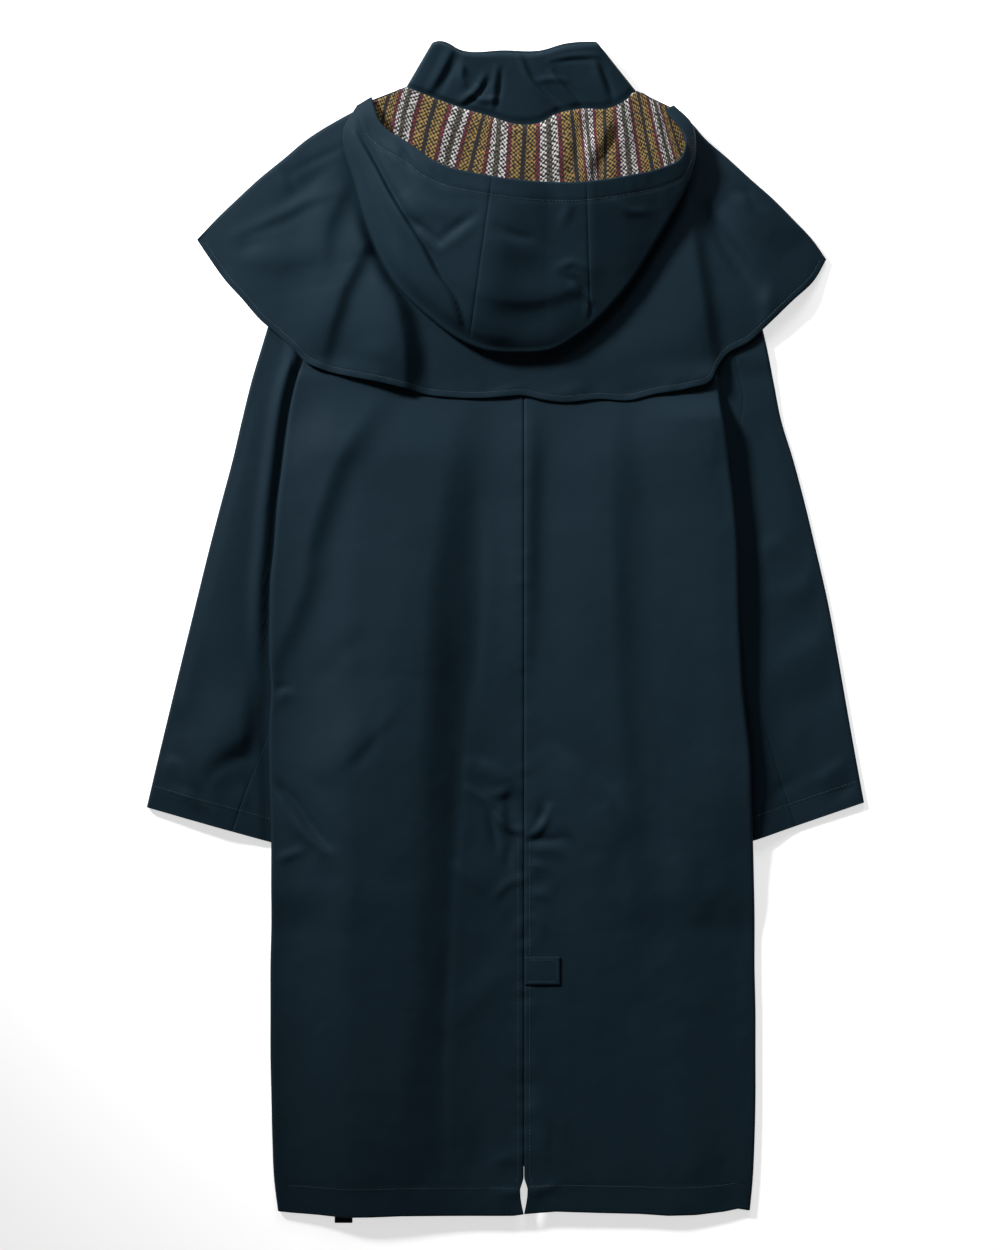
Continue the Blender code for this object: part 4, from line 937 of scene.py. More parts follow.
# %% Cape folds
CAPE_FOLDS = fold_lines(
    (22, 12, 5.6, (-191, 1088), (-202, 1064), (-210, 1043), (-213, 1022), (-212, 999)),
    (30, 10, 7.6, (-155, 1045), (-173, 1015), (-183, 994), (-193, 975), (-199, 956), (-205, 939),
     (-210, 920), (-217, 899)),
    (50, 14, 17.0, (-149, 1015), (-141, 990), (-138, 967), (-134, 943), (-130, 924), (-128, 907),
     (-128, 888), (-131, 863)),
    (5, 5, -1.2, (-190, 1125), (-212, 1115), (-245, 1098)),
    (3, 5, -2.0, (-255, 1103), (-243, 1084)),
    (6, 3, 1.8, (-259, 1101), (-246, 1082)),
    (10, 8, -1.8, (-210, 1100), (-232, 1083), (-254, 1066)),
    (8, 12, 2.0, (-199, 1074), (-225, 1067), (-249, 1056), (-272, 1045), (-305, 1030)),
    (6, 7, -1.8, (-204, 1067), (-225, 1061), (-249, 1048), (-272, 1039), (-307, 1023)),
    (6, 7, -1.4, (-271, 1025), (-288, 1021), (-303, 1015)),
    (14, 22, 3.6, (-296, 1010), (-259, 1007), (-220, 1012)),
    (34, 24, 2.0, (-242, 975), (-233, 933), (-237, 909)),
    (10, 12, 1.6, (-167, 909), (-153, 909), (-140, 901)),
    (24, 14, 1.6, (-13, 876), (-8, 861)),
    (24, 14, 1.4, (51, 876), (57, 861)),
    (90, 11, 8.0, (170, 1075), (176, 1032), (181, 999), (186, 967), (190, 937), (194, 909), (198, 880)),
    (8, 9, -4.0, (191, 1058), (204, 1037), (217, 1015), (231, 992), (246, 971)),
    (8, 22, 4.6, (204, 1058), (218, 1039), (235, 1018), (252, 996), (273, 973)),
    (24, 26, 4.0, (220, 1075), (252, 1043), (282, 1015)),
    (32, 10, 5.0, (307, 994), (290, 973), (271, 956), (254, 943)),
    (4, 5, -1.8, (226, 1077), (235, 1076), (242, 1066), (252, 1060)),
    (6, 5, 1.6, (225, 1071), (233, 1066), (240, 1059)),
    (6, 9, 2.2, (257, 979), (259, 952)),
    (22, 18, -2.4, (261, 1037), (282, 1022), (305, 1015)))
print("folds on the cape:", len(CAPE_FOLDS))


# %% Cape grid
def coons(left, right, top, bottom, s, t):
    """Blend of four edges: sides by t, ends by s, less the bilinear blend of the corners."""
    s, t = s[:, None, None], t[None, :, None]
    sides = (1 - t) * left[:, None] + t * right[:, None]
    ends = (1 - s) * top[None] + s * bottom[None]
    corners = ((1 - s) * (1 - t) * top[0] + (1 - s) * t * top[-1]
               + s * (1 - t) * bottom[0] + s * t * bottom[-1])
    return sides + ends - corners


def cape_height(x, u):
    """Middle of the cape's back: high on the body and sleeves, low at its corners, with the folds."""
    cover = 1.0
    for side, table in ((-1, SLEEVE_LEFT), (1, SLEEVE_RIGHT)):
        outside = (x - np.interp(u, table[::-1, 1], table[::-1, 0])) * side
        cover = cover * (1.0 - smooth(outside, 0.0, 150.0))
    above = u - line_at(NECKLINE, x)
    cover = cover * (1.0 - 0.6 * smooth(above, 0.0, 80.0))
    beside = outside_hood(x, u)
    folds = relief(CAPE_FOLDS, x, u)
    ridges = np.maximum(folds, 0.0) * smooth(beside, 0.5, 12.0)
    troughs = np.maximum(np.minimum(folds, 0.0), -3.0) * smooth(beside, -20.0, 9.25)
    return CAPE_RIM + (CAPE_HEIGHT - CAPE_RIM) * cover + (ridges + troughs) * (0.5 + 0.5 * cover)


CAPE_STITCH = 6.0
cape_rows = levels(CAPE_LENGTH, 3.3, lines=(CAPE_LENGTH - CAPE_STITCH,), ends=(False, True))
cape_rows /= CAPE_LENGTH
cape_columns = levels(CAPE_WIDTH, 3.2) / CAPE_WIDTH


def cape_back_grid():
    """Coons patch of the cape's four edges, with its folds, kept above the back below it.

    Where the back is higher, a soft maximum takes over: (a + b + sqrt((a - b)^2 + 1)) / 2. The last
    3 mm at each side follow a quarter circle down to the seam with the cape's front.
    """
    left, right = along(CAPE_SHOULDER_LEFT, cape_rows), along(CAPE_SHOULDER_RIGHT, cape_rows)
    plan = coons(left, right, along(CAPE_NECK, cape_columns), along(CAPE_HEM, cape_columns), cape_rows,
                 cape_columns)
    x, u = plan[..., 0], plan[..., 1]
    z = cape_height(x, u)
    down = np.concatenate([np.zeros((1, plan.shape[1])),
                           np.cumsum(np.linalg.norm(np.diff(plan, axis=0), axis=2), axis=0)])
    to_hem = down[-1] - down
    across = np.linalg.norm(np.diff(plan, axis=1), axis=2)
    from_left = np.concatenate([np.zeros((len(plan), 1)), np.cumsum(across, axis=1)], axis=1)
    to_side = np.minimum(from_left, from_left[:, -1:] - from_left)
    fine = 0.7 * handled(x, u, 71) * smooth(outside_hood(x, u), 0.0, 20.0)
    fine += 0.7 * waves(x, u, 11, 15, 73) * np.exp(-((to_hem - 5.0) / 9.0) ** 2)
    fine += groove(to_hem - CAPE_STITCH, 0.14)
    z = z + fine * smooth(to_side, 3.0, 15.0) - 0.35 * (1 - smooth(to_hem, 0.0, 1.8))
    lowered = z - 4.0 * (1 - smooth(to_hem, 0.0, 60.0)) * (1.0 - over_sleeve(x, u, -110.0, -20.0))
    edge = np.minimum(x - body_edge(-1, u), body_edge(1, u) - x)
    support = back_height(x, u) + 1.5 - 20.0 * (1.0 - smooth(edge, -5.0, 15.0))
    z = (lowered + support + np.sqrt((lowered - support) ** 2 + 1.0)) / 2
    rim = (cape_height(x[:, [0, -1]], u[:, [0, -1]]) + FLOOR) / 2 + SEAM_GAP / 2
    rim = np.where(from_left < from_left[:, -1:] / 2, rim[:, :1], rim[:, 1:])
    share = np.clip(to_side / 3.0, 0.0, 1.0)
    return np.concatenate([plan, (rim + (z - rim) * np.sqrt(1 - (1 - share) ** 2))[..., None]], axis=-1)


cape_grid = cape_back_grid()
cloth("raincoat_cape_back", cape_grid, "cape_back")

# %% Cape fronts
CAPE_PARTING, CAPE_FRONT_INSET = 0.4, 3.0
front_s = levels(CAPE_LENGTH, 8.0) / CAPE_LENGTH
front_t = levels(CAPE_FRONT_WIDTH, 8.0) / CAPE_FRONT_WIDTH
for name, side, shoulder in (("cape_front_left", -1, CAPE_SHOULDER_LEFT),
                             ("cape_front_right", 1, CAPE_SHOULDER_RIGHT)):
    outer = along(shoulder, front_s)
    neck_x = outer[0, 0] + (side * CAPE_PARTING - outer[0, 0]) * front_t
    hem_x = outer[-1, 0] + (side * CAPE_PARTING - outer[-1, 0]) * front_t
    neck = np.stack([neck_x, line_at(CAPE_FRONT_NECK, neck_x)], axis=-1)
    inset = CAPE_FRONT_INSET * smooth(np.abs(hem_x - outer[-1, 0]), 0.0, 40.0)
    hem = np.stack([hem_x, line_at(CAPE_HEM, hem_x) + inset], axis=-1)
    hem[0], neck[0] = outer[-1], outer[0]
    centre = neck[-1] + (hem[-1] - neck[-1]) * front_s[:, None]
    plan = coons(outer, centre, neck, hem, front_s, front_t)
    rim = (cape_height(outer[:, 0], outer[:, 1]) + FLOOR) / 2 - SEAM_GAP / 2
    share = np.clip(np.linalg.norm(plan - plan[:, :1], axis=2) / 3.0, 0.0, 1.0)
    z = rim[:, None] + (FLOOR - rim[:, None]) * np.sqrt(1 - (1 - share) ** 2)
    cloth("raincoat_" + name, np.concatenate([plan, z[..., None]], axis=-1), name, outward_up=False)

# %% [markdown]
# ## The hood
# The hood is three panels, a centre and two sides, and it lies back on the cape like a pouch with its
# mouth towards the collar. Every column of its grid runs from the neck seam down on the cape, round the
# bottom roll and up to the mouth, then turns under at the brim. The height along a column follows a
# power curve, steepest at the roll, so the pouch looks full.

# %% Hood folds
HOOD_FOLDS = fold_lines(
    (16, 3, 6.6, (-177, 1135), (-159, 1103), (-143, 1072), (-127, 1045), (-109, 1017), (-93, 987),
     (-77, 964), (-67, 935)),
    (4, 4, -2.4, (-171, 1135), (-153, 1103), (-137, 1072), (-121, 1045), (-103, 1017), (-87, 987),
     (-72, 964), (-63, 938)),
    (5, 6, -1.6, (-161, 1102), (-145, 1056), (-126, 1019), (-113, 987), (-100, 964), (-89, 950)),
    (9, 7, 2.0, (-134, 1018), (-121, 986), (-106, 960)),
    (16, 8, 3.2, (-129, 1075), (-117, 1056), (-106, 1045)),
    (60, 34, 7.5, (-34, 1065), (-36, 1028), (-42, 986), (-51, 933)),
    (6, 3.5, -3.0, (-119, 1047), (-104, 1035), (-90, 1022)),
    (4, 6, 2.6, (-117, 1037), (-104, 1025), (-92, 1013)),
    (3.5, 6, -2.0, (-90, 1021), (-72, 1035), (-51, 1049)),
    (6, 4, 1.2, (-86, 1013), (-68, 1026), (-51, 1039)),
    (9, 9, 2.0, (-110, 1071), (-95, 1056), (-78, 1047)),
    (9, 24, 3.0, (-49, 971), (-15, 962), (17, 964), (49, 975), (66, 986)),
    (14, 20, -1.5, (-38, 946), (-4, 937), (30, 943)),
    (4, 4, 1.6, (36, 995), (51, 1000), (67, 993)),
    (4, 3.5, -2.2, (42, 986), (57, 980), (66, 965)),
    (4, 4, 2.4, (52, 975), (66, 961), (68, 941)),
    (4, 3.5, -1.8, (59, 965), (70, 952), (70, 941)),
    (16, 16, -2.2, (28, 1075), (34, 1037), (47, 1005)),
    (12, 9, 2.0, (-28, 1022), (-4, 1013), (13, 1005)),
    (5, 4, -1.6, (-28, 1037), (-11, 1028), (8, 1025)),
    (6, 6, 1.6, (38, 1075), (46, 1058), (39, 1039)),
    (5, 4, 1.6, (93, 1064), (112, 1054), (129, 1054)))
BRIM_STITCH, BRIM_RADIUS = 18.0, 1.1
LOFT_CURVE, HOOD_SLOPE, HOOD_SHOULDER = 1.15, 0.22, 7.0


# %% Hood grid
HOOD_SEAMS = (10 / 26, 16 / 26)
SEAMS_ON_ROLL = (0.424, 0.615)  # where the seams cross the rolled bottom edge
HOOD_LOWER_ROWS = 26    # rows of the lower wall
seam_places = [HOOD_ROUND * share for share in HOOD_SEAMS]
hood_columns = levels(HOOD_ROUND, 2.9, lines=seam_places, ends=(False, False)) / HOOD_ROUND
hood_cuts = [int(np.argmin(np.abs(hood_columns - share))) for share in HOOD_SEAMS]


def hood_grid():
    """Lower wall, roll and upper wall; on the last z = base + 2r + loft (1 - (1 - s)^1.15) + shoulder.

    The roll is a half ellipse: r is its half height, from HOOD_ROLL, and it is at most 5 mm deep in
    plan. The shoulder rises steeply over the first 26 mm beside the roll.
    """
    on_roll = np.interp(hood_columns, (0.0, *HOOD_SEAMS, 1.0), (0.0, *SEAMS_ON_ROLL, 1.0))
    neck, mouth = along(NECK_SEAM, hood_columns), along(HOOD_MOUTH, hood_columns)
    roll = along(HOOD_ROLL_LINE, on_roll)
    middle = 1.0 - np.abs(2 * hood_columns - 1) ** 2.5
    radius = line_at(HOOD_ROLL, hood_columns)
    inward = unit(mouth - roll)
    flat = np.minimum(radius, 5.0)
    foot = roll + inward * flat[:, None]
    lower = np.linspace(0.0, 1.0, HOOD_LOWER_ROWS)[:, None, None]
    plan = [neck + (foot - neck) * lower]
    rise = [np.zeros((HOOD_LOWER_ROWS, len(hood_columns)))]
    swing = np.radians(np.arange(20.0, 170.0, 20.0))[:, None]
    plan.append(roll + inward * (flat * (1 - np.sin(swing)))[..., None])
    rise.append(radius * (1 - np.cos(swing)))
    length = np.linalg.norm(mouth - foot, axis=1)
    loft = np.minimum(5.0 + HOOD_LOFT * middle, HOOD_SLOPE * length)
    share = (levels(HOOD_DEPTH, 2.6, ends=(False, True)) / HOOD_DEPTH)[:, None]
    upper = foot + (mouth - foot) * share[..., None]
    x, u = upper[..., 0], upper[..., 1]
    to_brim = (1 - share) * length
    free = smooth(share * length, 1.0, 14.0) * (1 - 0.6 * smooth(share, 0.88, 1.0))
    free = free * smooth(middle, 0.0, 0.1)
    folds = relief(HOOD_FOLDS, x, u)
    pulled = smooth(x, 10.0, -60.0) * 1.5 + 0.5
    fine = 0.7 * handled(x, u, 81) + groove(to_brim - BRIM_STITCH, 0.6, 1.8)
    fine += pulled * waves(x + 0.4 * u, u, 8, 30, 83) * np.exp(-((to_brim - 12.0) / 12.0) ** 2)
    for number in hood_cuts:
        fine += groove(np.linalg.norm(upper - upper[:, number:number + 1], axis=2), 0.6, 1.6)
    plan.append(upper)
    at_foot = smooth(hood_columns, 0.05, 0.3) * (1 - smooth(hood_columns, 0.42, 0.66))
    near_roll = 1 - (1 - np.clip(share * length / 26.0, 0.0, 1.0)) ** 2
    shape = loft * (1 - (1 - share) ** LOFT_CURVE) + HOOD_SHOULDER * at_foot * near_roll
    rise.append(2 * radius + shape + free * (folds + fine))
    plan, rise = np.concatenate(plan), np.concatenate(rise)
    grid = np.concatenate([plan, HOOD_BASE + rise[..., None]], axis=-1)
    ahead = unit(grid[-1] - grid[-3])
    up = upward(grid[-6:])[-1]
    bend = np.radians((50.0, 90.0, 130.0, 180.0))[:, None, None]
    turned = grid[-1] + ahead * BRIM_RADIUS * np.sin(bend) - up * BRIM_RADIUS * (1 - np.cos(bend))
    under = np.array((4.0, 9.0))[:, None, None]
    back = turned[-1] - ahead * under * smooth(length, 5.0, 30.0)[None, :, None]
    return grid, np.concatenate([grid, turned, back])


hood_inside, hood = hood_grid()
for name, first, last in (("hood_left", 0, hood_cuts[0]), ("hood_centre", *hood_cuts),
                          ("hood_right", hood_cuts[1], len(hood_columns) - 1)):
    cloth("raincoat_" + name, hood[:, first:last + 1], name)

# %% [markdown]
# ## The lining
# A bag lining fills the hood: it starts at the neck seam, covers the lower wall, turns round the inside
# of the roll and comes back up under the brim. Its stripes run nearly straight down and lean out at both
# sides. The cloth is gathered on the right, which squeezes the stripes there.

# %% Hood lining
LINING_FOLDS = fold_lines(
    (12, 5, 6.0, (87, 1164), (89, 1149), (83, 1132), (72, 1117), (65, 1096)),
    (6, 7, -3.0, (102, 1147), (93, 1130), (85, 1115), (81, 1096)),
    (7, 8, -2.8, (53, 1158), (61, 1134), (57, 1115), (45, 1090)),
    (9, 7, 2.6, (38, 1147), (45, 1124), (38, 1102)),
    (8, 9, 2.8, (100, 1164), (102, 1138), (93, 1117), (91, 1096)),
    (7, 7, -2.4, (117, 1168), (123, 1141), (123, 1113)),
    (8, 7, 2.2, (131, 1168), (140, 1145), (138, 1121)),
    (7, 7, -2.0, (148, 1158), (153, 1134)),
    (9, 8, -1.8, (-49, 1145), (-51, 1124), (-61, 1107)),
    (8, 8, 1.8, (-76, 1158), (-85, 1134), (-91, 1117)),
    (10, 8, 1.6, (-4, 1151), (-6, 1124), (-11, 1096)),
    (8, 8, -1.5, (-106, 1168), (-114, 1149), (-123, 1134)))
LINING_GAP = 1.5        # from the middle of the hood's cloth to the middle of the lining
# Where the ink and olive stripes cross one line of the lower wall: place across, lean, and place in
# the chart.
STRIPE_LINE = 1144.8
STRIPE_KNOTS = ((-173.8, -0.27, 9.25), (-150.5, -0.27, 35.25), (-128.3, -0.20, 61.25),
                (-99.6, -0.24, 87.25), (-71.0, -0.28, 113.25), (-45.1, -0.25, 139.25),
                (-26.5, -0.06, 165.25), (2.1, -0.06, 191.25), (27.0, 0.03, 217.25),
                (53.0, 0.10, 243.25), (67.8, 0.10, 269.25), (85.9, 0.0, 295.25), (107.6, 0.10, 321.25),
                (128.3, 0.20, 347.25), (145.8, 0.25, 373.25), (156.9, 0.30, 399.25),
                (176.0, 0.30, 425.25))


def chart_place(x, u):
    """Slide each point along its stripe to the line, then read its place in the chart there."""
    across, lean, chart = np.array(STRIPE_KNOTS).T
    on_line = x
    for _ in range(6):
        on_line = x - np.interp(on_line, across, lean) * (STRIPE_LINE - u)
    return np.interp(on_line, across, chart)


def lining_grid():
    """The hood's inside moved in by LINING_GAP along its normal, with the gathers on the lower wall."""
    across, down = np.gradient(hood_inside, axis=1), np.gradient(hood_inside, axis=0)
    normal = unit(np.cross(across, down))
    normal *= np.sign(normal[5, len(hood_columns) // 2, 2])
    grid = (hood_inside + LINING_GAP * normal)[:-6, 1:-1]
    x, u = grid[..., 0], grid[..., 1]
    row = np.arange(len(grid))[:, None]
    lower = (1 - smooth(row, 12, 24)) * smooth(row, 0, 4)
    gathers = relief(LINING_FOLDS, x, u) + 0.8 * waves(x, u, 7, 40, 91) * smooth(x, 0.0, 60.0)
    grid[..., 2] += lower * (0.5 * waves(x, u, 12, 26, 93) + np.maximum(gathers, -1.0) + 0.6)
    length = np.linalg.norm(np.diff(grid, axis=0), axis=2)
    length = np.concatenate([np.zeros((1, grid.shape[1])), np.cumsum(length, axis=0)])
    stripe = chart_place(grid[..., 0], grid[..., 1])
    stripe[HOOD_LOWER_ROWS:] = stripe[HOOD_LOWER_ROWS - 1]
    wander = 0.8 * waves(length, stripe, 30, 40, 95)
    return grid, np.stack([stripe + wander, length], axis=-1) * MM


lining, lining_uv = lining_grid()
cloth("hood_striped_lining", lining, "hood_lining", thickness=1.0, uv=lining_uv,
      outward_up=False,
      finish=lining_cloth)

# %% [markdown]
# ## The stand collar
# A band goes right round the neck. Its back part lies on top, its front part on the surface below, and it
# is folded at both sides. Each column runs from the neck seam up to the free edge.

# %% Collar
COLLAR_END_LEFT = ((-119.0, 1187.0), (-91.0, 1235.0))
COLLAR_END_RIGHT = ((112.5, 1184.0), (72.0, 1235.0))
COLLAR_FRONT_LEFT = ((-3.0, 1102.2, -3.0, 1188.0), (-32.0, 1105.0, -28.0, 1192.0),
                     (-61.0, 1113.4, -56.0, 1212.0), (-95.0, 1138.6, -80.0, 1230.0))
COLLAR_FRONT_RIGHT = ((90.0, 1138.6, 66.0, 1230.0), (57.0, 1113.4, 42.0, 1212.0),
                      (32.0, 1105.0, 24.0, 1192.0), (3.0, 1102.2, 3.0, 1188.0))
COLLAR_FOLDS = fold_lines(
    (6, 3.5, 3.2, (-76, 1226), (-87, 1204), (-100, 1183)),
    (9, 4, -2.4, (-67, 1223), (-77, 1204), (-91, 1180)),
    (4, 3, 2.8, (-65, 1208), (-66, 1198), (-61, 1187)),
    (3, 3, -2.2, (-60, 1204), (-55, 1196), (-48, 1187)),
    (4, 3, 3.0, (-42, 1199), (-50, 1185), (-66, 1172)),
    (3, 3, -2.4, (-37, 1194), (-46, 1180), (-64, 1167)),
    (4, 3, 2.6, (-57, 1180), (-42, 1174), (-28, 1176)),
    (3.5, 3, 2.4, (-29, 1206), (-32, 1187), (-33, 1167)),
    (3, 3, -2.2, (-23, 1206), (-25, 1185), (-29, 1166)),
    (4, 3, 2.6, (-5, 1219), (5, 1196), (33, 1167)),
    (5, 4, -2.6, (1, 1218), (14, 1194), (43, 1166)),
    (4, 3, 2.0, (28, 1215), (51, 1219), (76, 1220)),
    (3, 3, -1.8, (30, 1213), (53, 1216), (76, 1216)),
    (4, 3, 2.4, (28, 1202), (43, 1184), (57, 1170)),
    (3, 3, -2.0, (33, 1203), (49, 1185), (63, 1170)),
    (6, 3, 2.6, (74, 1213), (81, 1196), (88, 1179)),
    (4, 4, -3.0, (81, 1213), (87, 1196), (94, 1178)),
    (4, 3, 1.8, (13, 1194), (30, 1196), (45, 1194)))
COLLAR_LEAN = 10.0      # how much higher the free edge stands than the foot
COLLAR_CLOTH = 1.1      # thickness of the collar


def collar_grid():
    """Foot and top of each column on curves through the band's marks, joined by straight lines."""
    shares = np.linspace(0.0, 1.0, 27)[1:-1]
    low_back, top_back = along(NECK_SEAM, shares), along(COLLAR_TOP, shares)
    middle_z, fold = (HOOD_BASE + FLOOR) / 2, (HOOD_BASE - FLOOR) / 2
    swings = np.radians((30.0, 60.0, 90.0, 120.0, 150.0))

    def side_fold(ends, way, order):
        """Marks round one folded end: half a turn, with the collar's roll as its reach."""
        (low_x, low_u), (top_x, top_u) = ends
        out, z = way * COLLAR_ROLL * np.sin(order), middle_z - fold * np.cos(order)
        return [(low_x + o, low_u, h, top_x + o, top_u, h) for o, h in zip(out, z)]

    front_left, front_right = ([(*ends[:2], FLOOR, *ends[2:], FLOOR) for ends in part]
                               for part in (COLLAR_FRONT_LEFT, COLLAR_FRONT_RIGHT))
    back = [(*low, HOOD_BASE, *top, HOOD_BASE) for low, top in zip(low_back, top_back)]
    marks = np.array(front_left + side_fold(COLLAR_END_LEFT, -1, swings) + back
                     + side_fold(COLLAR_END_RIGHT, 1, swings[::-1]) + front_right)
    size = np.linalg.norm(np.diff((marks[:, :3] + marks[:, 3:]) / 2, axis=0), axis=1)
    place = np.concatenate([[0.0], np.cumsum(size)])
    at = np.linspace(0.0, place[-1], int(place[-1] / 1.7))
    table = through(place, marks, at)
    # The curve can dip between its marks, so both heights are kept off the surface.
    table[:, [2, 5]] = np.maximum(table[:, [2, 5]], FLOOR)
    rows = (levels(COLLAR_DEPTH, 1.8) / COLLAR_DEPTH)[:, None, None]
    grid = table[None, :, :3] + (table[None, :, 3:] - table[None, :, :3]) * rows
    x, u, z = grid[..., 0], grid[..., 1], grid[..., 2]
    up = rows[..., 0]
    on_top = smooth(z, 13.0, 18.0) * smooth(up, 0.0, 0.12) * (1 - 0.5 * smooth(up, 0.9, 1.0))
    folds = 0.85 * np.maximum(relief(COLLAR_FOLDS, x, u), -2.4) + 0.9 * handled(x, u, 97)
    grid[..., 2] += on_top * (1.5 + folds + COLLAR_LEAN * up)
    return grid


collar = collar_grid()
cloth("raincoat_collar", collar, "collar", thickness=COLLAR_CLOTH)


# %% Small pieces
def flat_strip(x_range, u_range, height, spacing=2.0):
    """A strip whose middle follows a height function and whose rim drops by a quarter circle."""
    x, u = (low + levels(high - low, spacing) for low, high in (x_range, u_range))
    x, u = np.meshgrid(x, u)
    rim = np.minimum(x - x_range[0], x_range[1] - x)
    rim = np.minimum(rim, np.minimum(u - u_range[0], u_range[1] - u))
    drop = 0.7 * (1 - np.sqrt(1 - (1 - np.clip(rim / 1.4, 0.0, 1.0)) ** 2))
    return np.stack([x, u, height(x, u) - drop], axis=-1)


TAB_ACROSS, TAB_HEIGHT = (1.0, 38.0), (240.0, 269.0)
TAB_CLOTH, TAB_LIFT = 1.4, 1.9
STRAP_ACROSS, STRAP_HEIGHT = (-200.0, -182.0), (-13.0, 60.0)
tab = flat_strip(TAB_ACROSS, TAB_HEIGHT, lambda x, u: back_height(x, u) + TAB_LIFT)
cloth("raincoat_vent_tab", tab, "vent_tab", thickness=TAB_CLOTH)
strap = flat_strip(STRAP_ACROSS, STRAP_HEIGHT, lambda x, u: front_height(x, u) + 1.5, 3.0)
cloth("strap_webbing_end", strap, "strap_end", thickness=1.2,
      finish=strap_finish)

# %% [markdown]
# ## Stitches
# The last sewing is the topstitching: along the hem and the vent, round the cape, the cuffs, the brim,
# the collar and the tab. Each stitch is a separate small spindle of thread that sits in its groove. They
# are too small to need many faces.


# %% Lines to stitch
def from_end(grid, distance):
    """The points at a distance before the last row of a grid, measured along each column."""
    step = np.linalg.norm(np.diff(grid, axis=0), axis=2)
    left = np.concatenate([np.cumsum(step[::-1], axis=0)[::-1], np.zeros((1, grid.shape[1]))])
    row = np.clip((left > distance).sum(axis=0) - 1, 0, len(grid) - 2)
    column = np.arange(grid.shape[1])
    share = (left[row, column] - distance) / np.maximum(left[row, column] - left[row + 1, column], 1e-6)
    share = np.clip(share, 0, 1)[:, None]
    return grid[row, column] * (1 - share) + grid[row + 1, column] * share


COLLAR_STITCH, TAB_STITCH = 5.0, 3.0


def stitch_on(group, line, lift=CLOTH / 2):
    """Stitch along a line in the middle of a cloth, lifted straight up to its surface."""
    normal = np.broadcast_to(np.array((0.0, 0.0, 1.0)), line.shape)
    stitch(group, line + normal * lift, normal)


for side, grid in backs.items():
    row = int(np.argmin(np.abs(back_rows - HEM_STITCH)))
    stitch_on("stitches_body", grid[row, 2:-9])
    u = np.linspace(HEM_STITCH, VENT_TOP, 160)
    x = side * (VENT_STITCH + slit(u))
    stitch_on("stitches_body", np.stack([x, u, back_height(x, u)], axis=-1))
for grid in sleeves:
    stitch_on("stitches_sleeves", from_end(grid, CUFF_STITCH)[22:-10])
stitch_on("stitches_cape", from_end(cape_grid, CAPE_STITCH)[6:-6])
upper_hood = hood_inside[40:]
stitch_on("stitches_hood", from_end(upper_hood, BRIM_STITCH)[12:-12])
stitch_on("stitches_collar", from_end(collar, COLLAR_STITCH)[67:-67], COLLAR_CLOTH / 2)
for first, last in (((0, 0), (1, 0)), ((1, 0), (1, 1)), ((1, 1), (0, 1))):
    corner = [(TAB_ACROSS[i] + (TAB_STITCH if i == 0 else -TAB_STITCH),
               TAB_HEIGHT[j] + (TAB_STITCH if j == 0 else -TAB_STITCH)) for i, j in (first, last)]
    line = np.array(corner[0]) + (np.array(corner[1]) - corner[0]) * np.linspace(0, 1, 30)[:, None]
    z = back_height(line[:, 0], line[:, 1]) + TAB_LIFT
    stitch_on("stitches_tab", np.column_stack([line, z]), TAB_CLOTH / 2)
for group in sorted(stitch_lines):
    make_stitches(group).data.materials.append(thread_finish)

# %% [markdown]
# ## Floor, light and camera
# A pale floor, one large soft light from the upper left and a weaker one beyond the collar show the folds
# by their shades. The camera looks straight down through a long lens, so that the coat's edges keep
# their shape.

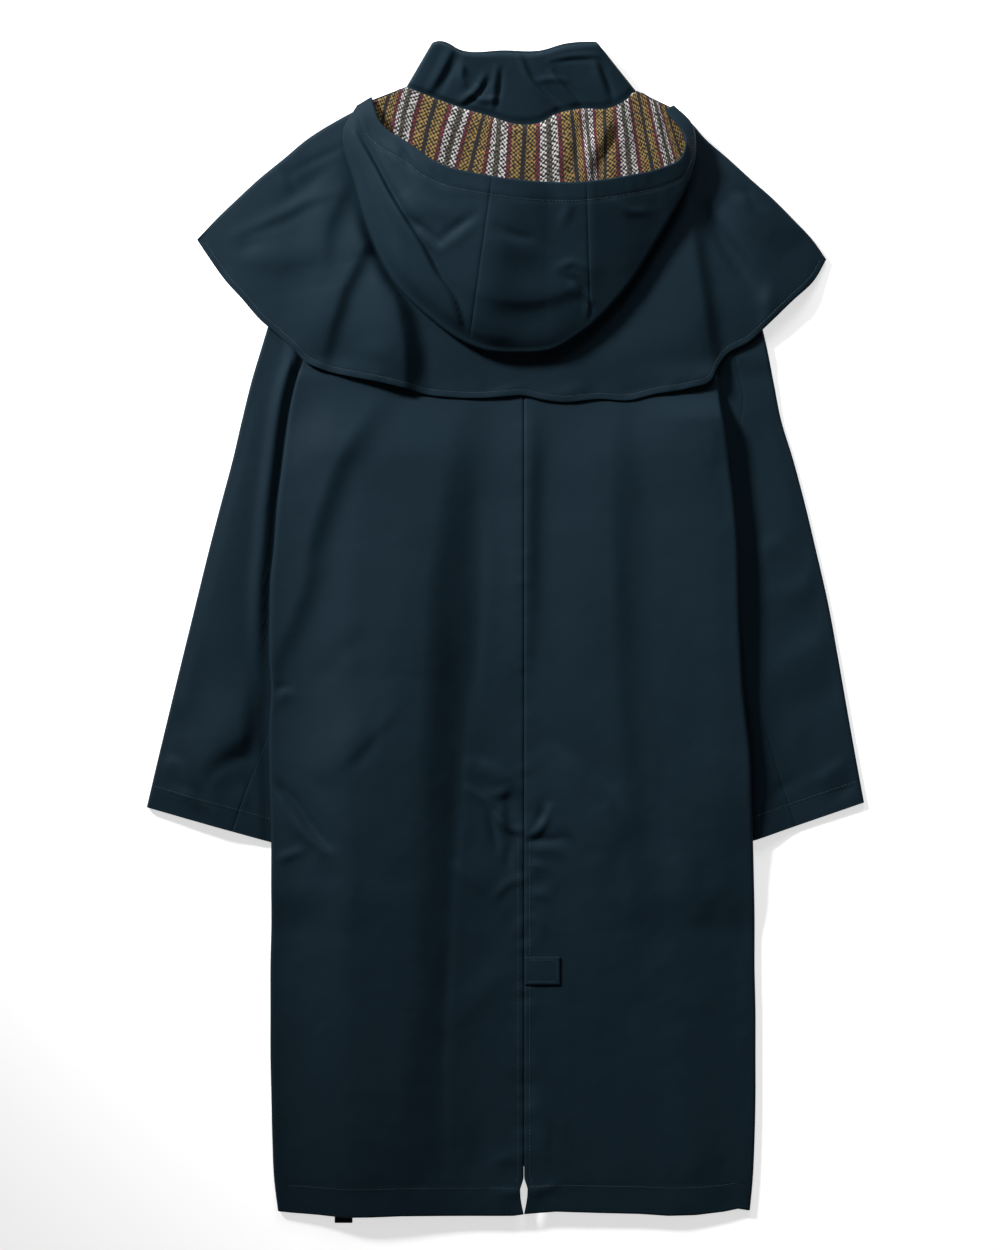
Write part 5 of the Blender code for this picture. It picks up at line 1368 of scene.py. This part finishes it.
# %% Floor
floor_mesh = bpy.data.meshes.new("studio_floor")
floor_mesh.from_pydata([(-4, -4, 0), (4, -4, 0), (4, 4, 0), (-4, 4, 0)], [], [(0, 1, 2, 3)])
floor = bpy.data.objects.new("studio_floor", floor_mesh)
bpy.context.collection.objects.link(floor)
FLOOR_GLOW = 0.62       # the floor gives off some light of its own, like a light table
paper, _, _, paper_shader = new_finish("white_paper_floor", (0.9, 0.9, 0.9), 0.9, specular=0.1)
paper_shader.inputs["Emission Color"].default_value = (1.0, 1.0, 1.0, 1.0)
paper_shader.inputs["Emission Strength"].default_value = FLOOR_GLOW
floor_mesh.materials.append(paper)

# %% Lights and camera
def aim(item, target):
    """Turn a lamp at its place so that it shines at a target."""
    way = np.array(target, dtype=float) - item.location
    item.rotation_euler = (math.acos(-way[2] / np.linalg.norm(way)), 0.0, math.atan2(-way[0], way[1]))


def lamp(name, kind, place, target, power, **settings):
    """A lamp of a kind, with the settings of that kind."""
    data = bpy.data.lights.new(name, kind)
    data.energy = power
    for key, value in settings.items():
        setattr(data, key, value)
    item = bpy.data.objects.new(name, data)
    item.location = place
    aim(item, target)
    bpy.context.collection.objects.link(item)


SKY_LIGHT, KEY_POWER, TOP_POWER = 0.09, 1260.0, 14.0
lamp("key_spot", "SPOT", (-2.5, 2.5, 1.75), (0.0, 0.23, 0.0), KEY_POWER, spot_size=math.radians(29.0),
     spot_blend=1.0, shadow_soft_size=0.36)
lamp("top_light", "AREA", (0.3, 1.9, 1.1), (0.0, 0.2, 0.0), TOP_POWER, size=0.9)
world = bpy.data.worlds.new("studio")
world.use_nodes = True
world.node_tree.nodes["Background"].inputs[0].default_value = (1.0, 1.0, 1.0, 1.0)
world.node_tree.nodes["Background"].inputs[1].default_value = SKY_LIGHT
bpy.context.scene.world = world
bpy.context.scene.view_settings.view_transform = "Standard"

FRAME_HEIGHT, CAMERA_HEIGHT, SENSOR = 1.325, 4.5, 36.0
camera_data = bpy.data.cameras.new("camera")
camera_data.sensor_fit = "VERTICAL"
camera_data.sensor_height = SENSOR
camera_data.lens = SENSOR * CAMERA_HEIGHT / FRAME_HEIGHT
camera = bpy.data.objects.new("camera", camera_data)
camera.location = (-0.0059, 0.0088, CAMERA_HEIGHT)
bpy.context.collection.objects.link(camera)
bpy.context.scene.camera = camera
print("lens (mm):", round(camera_data.lens, 1))
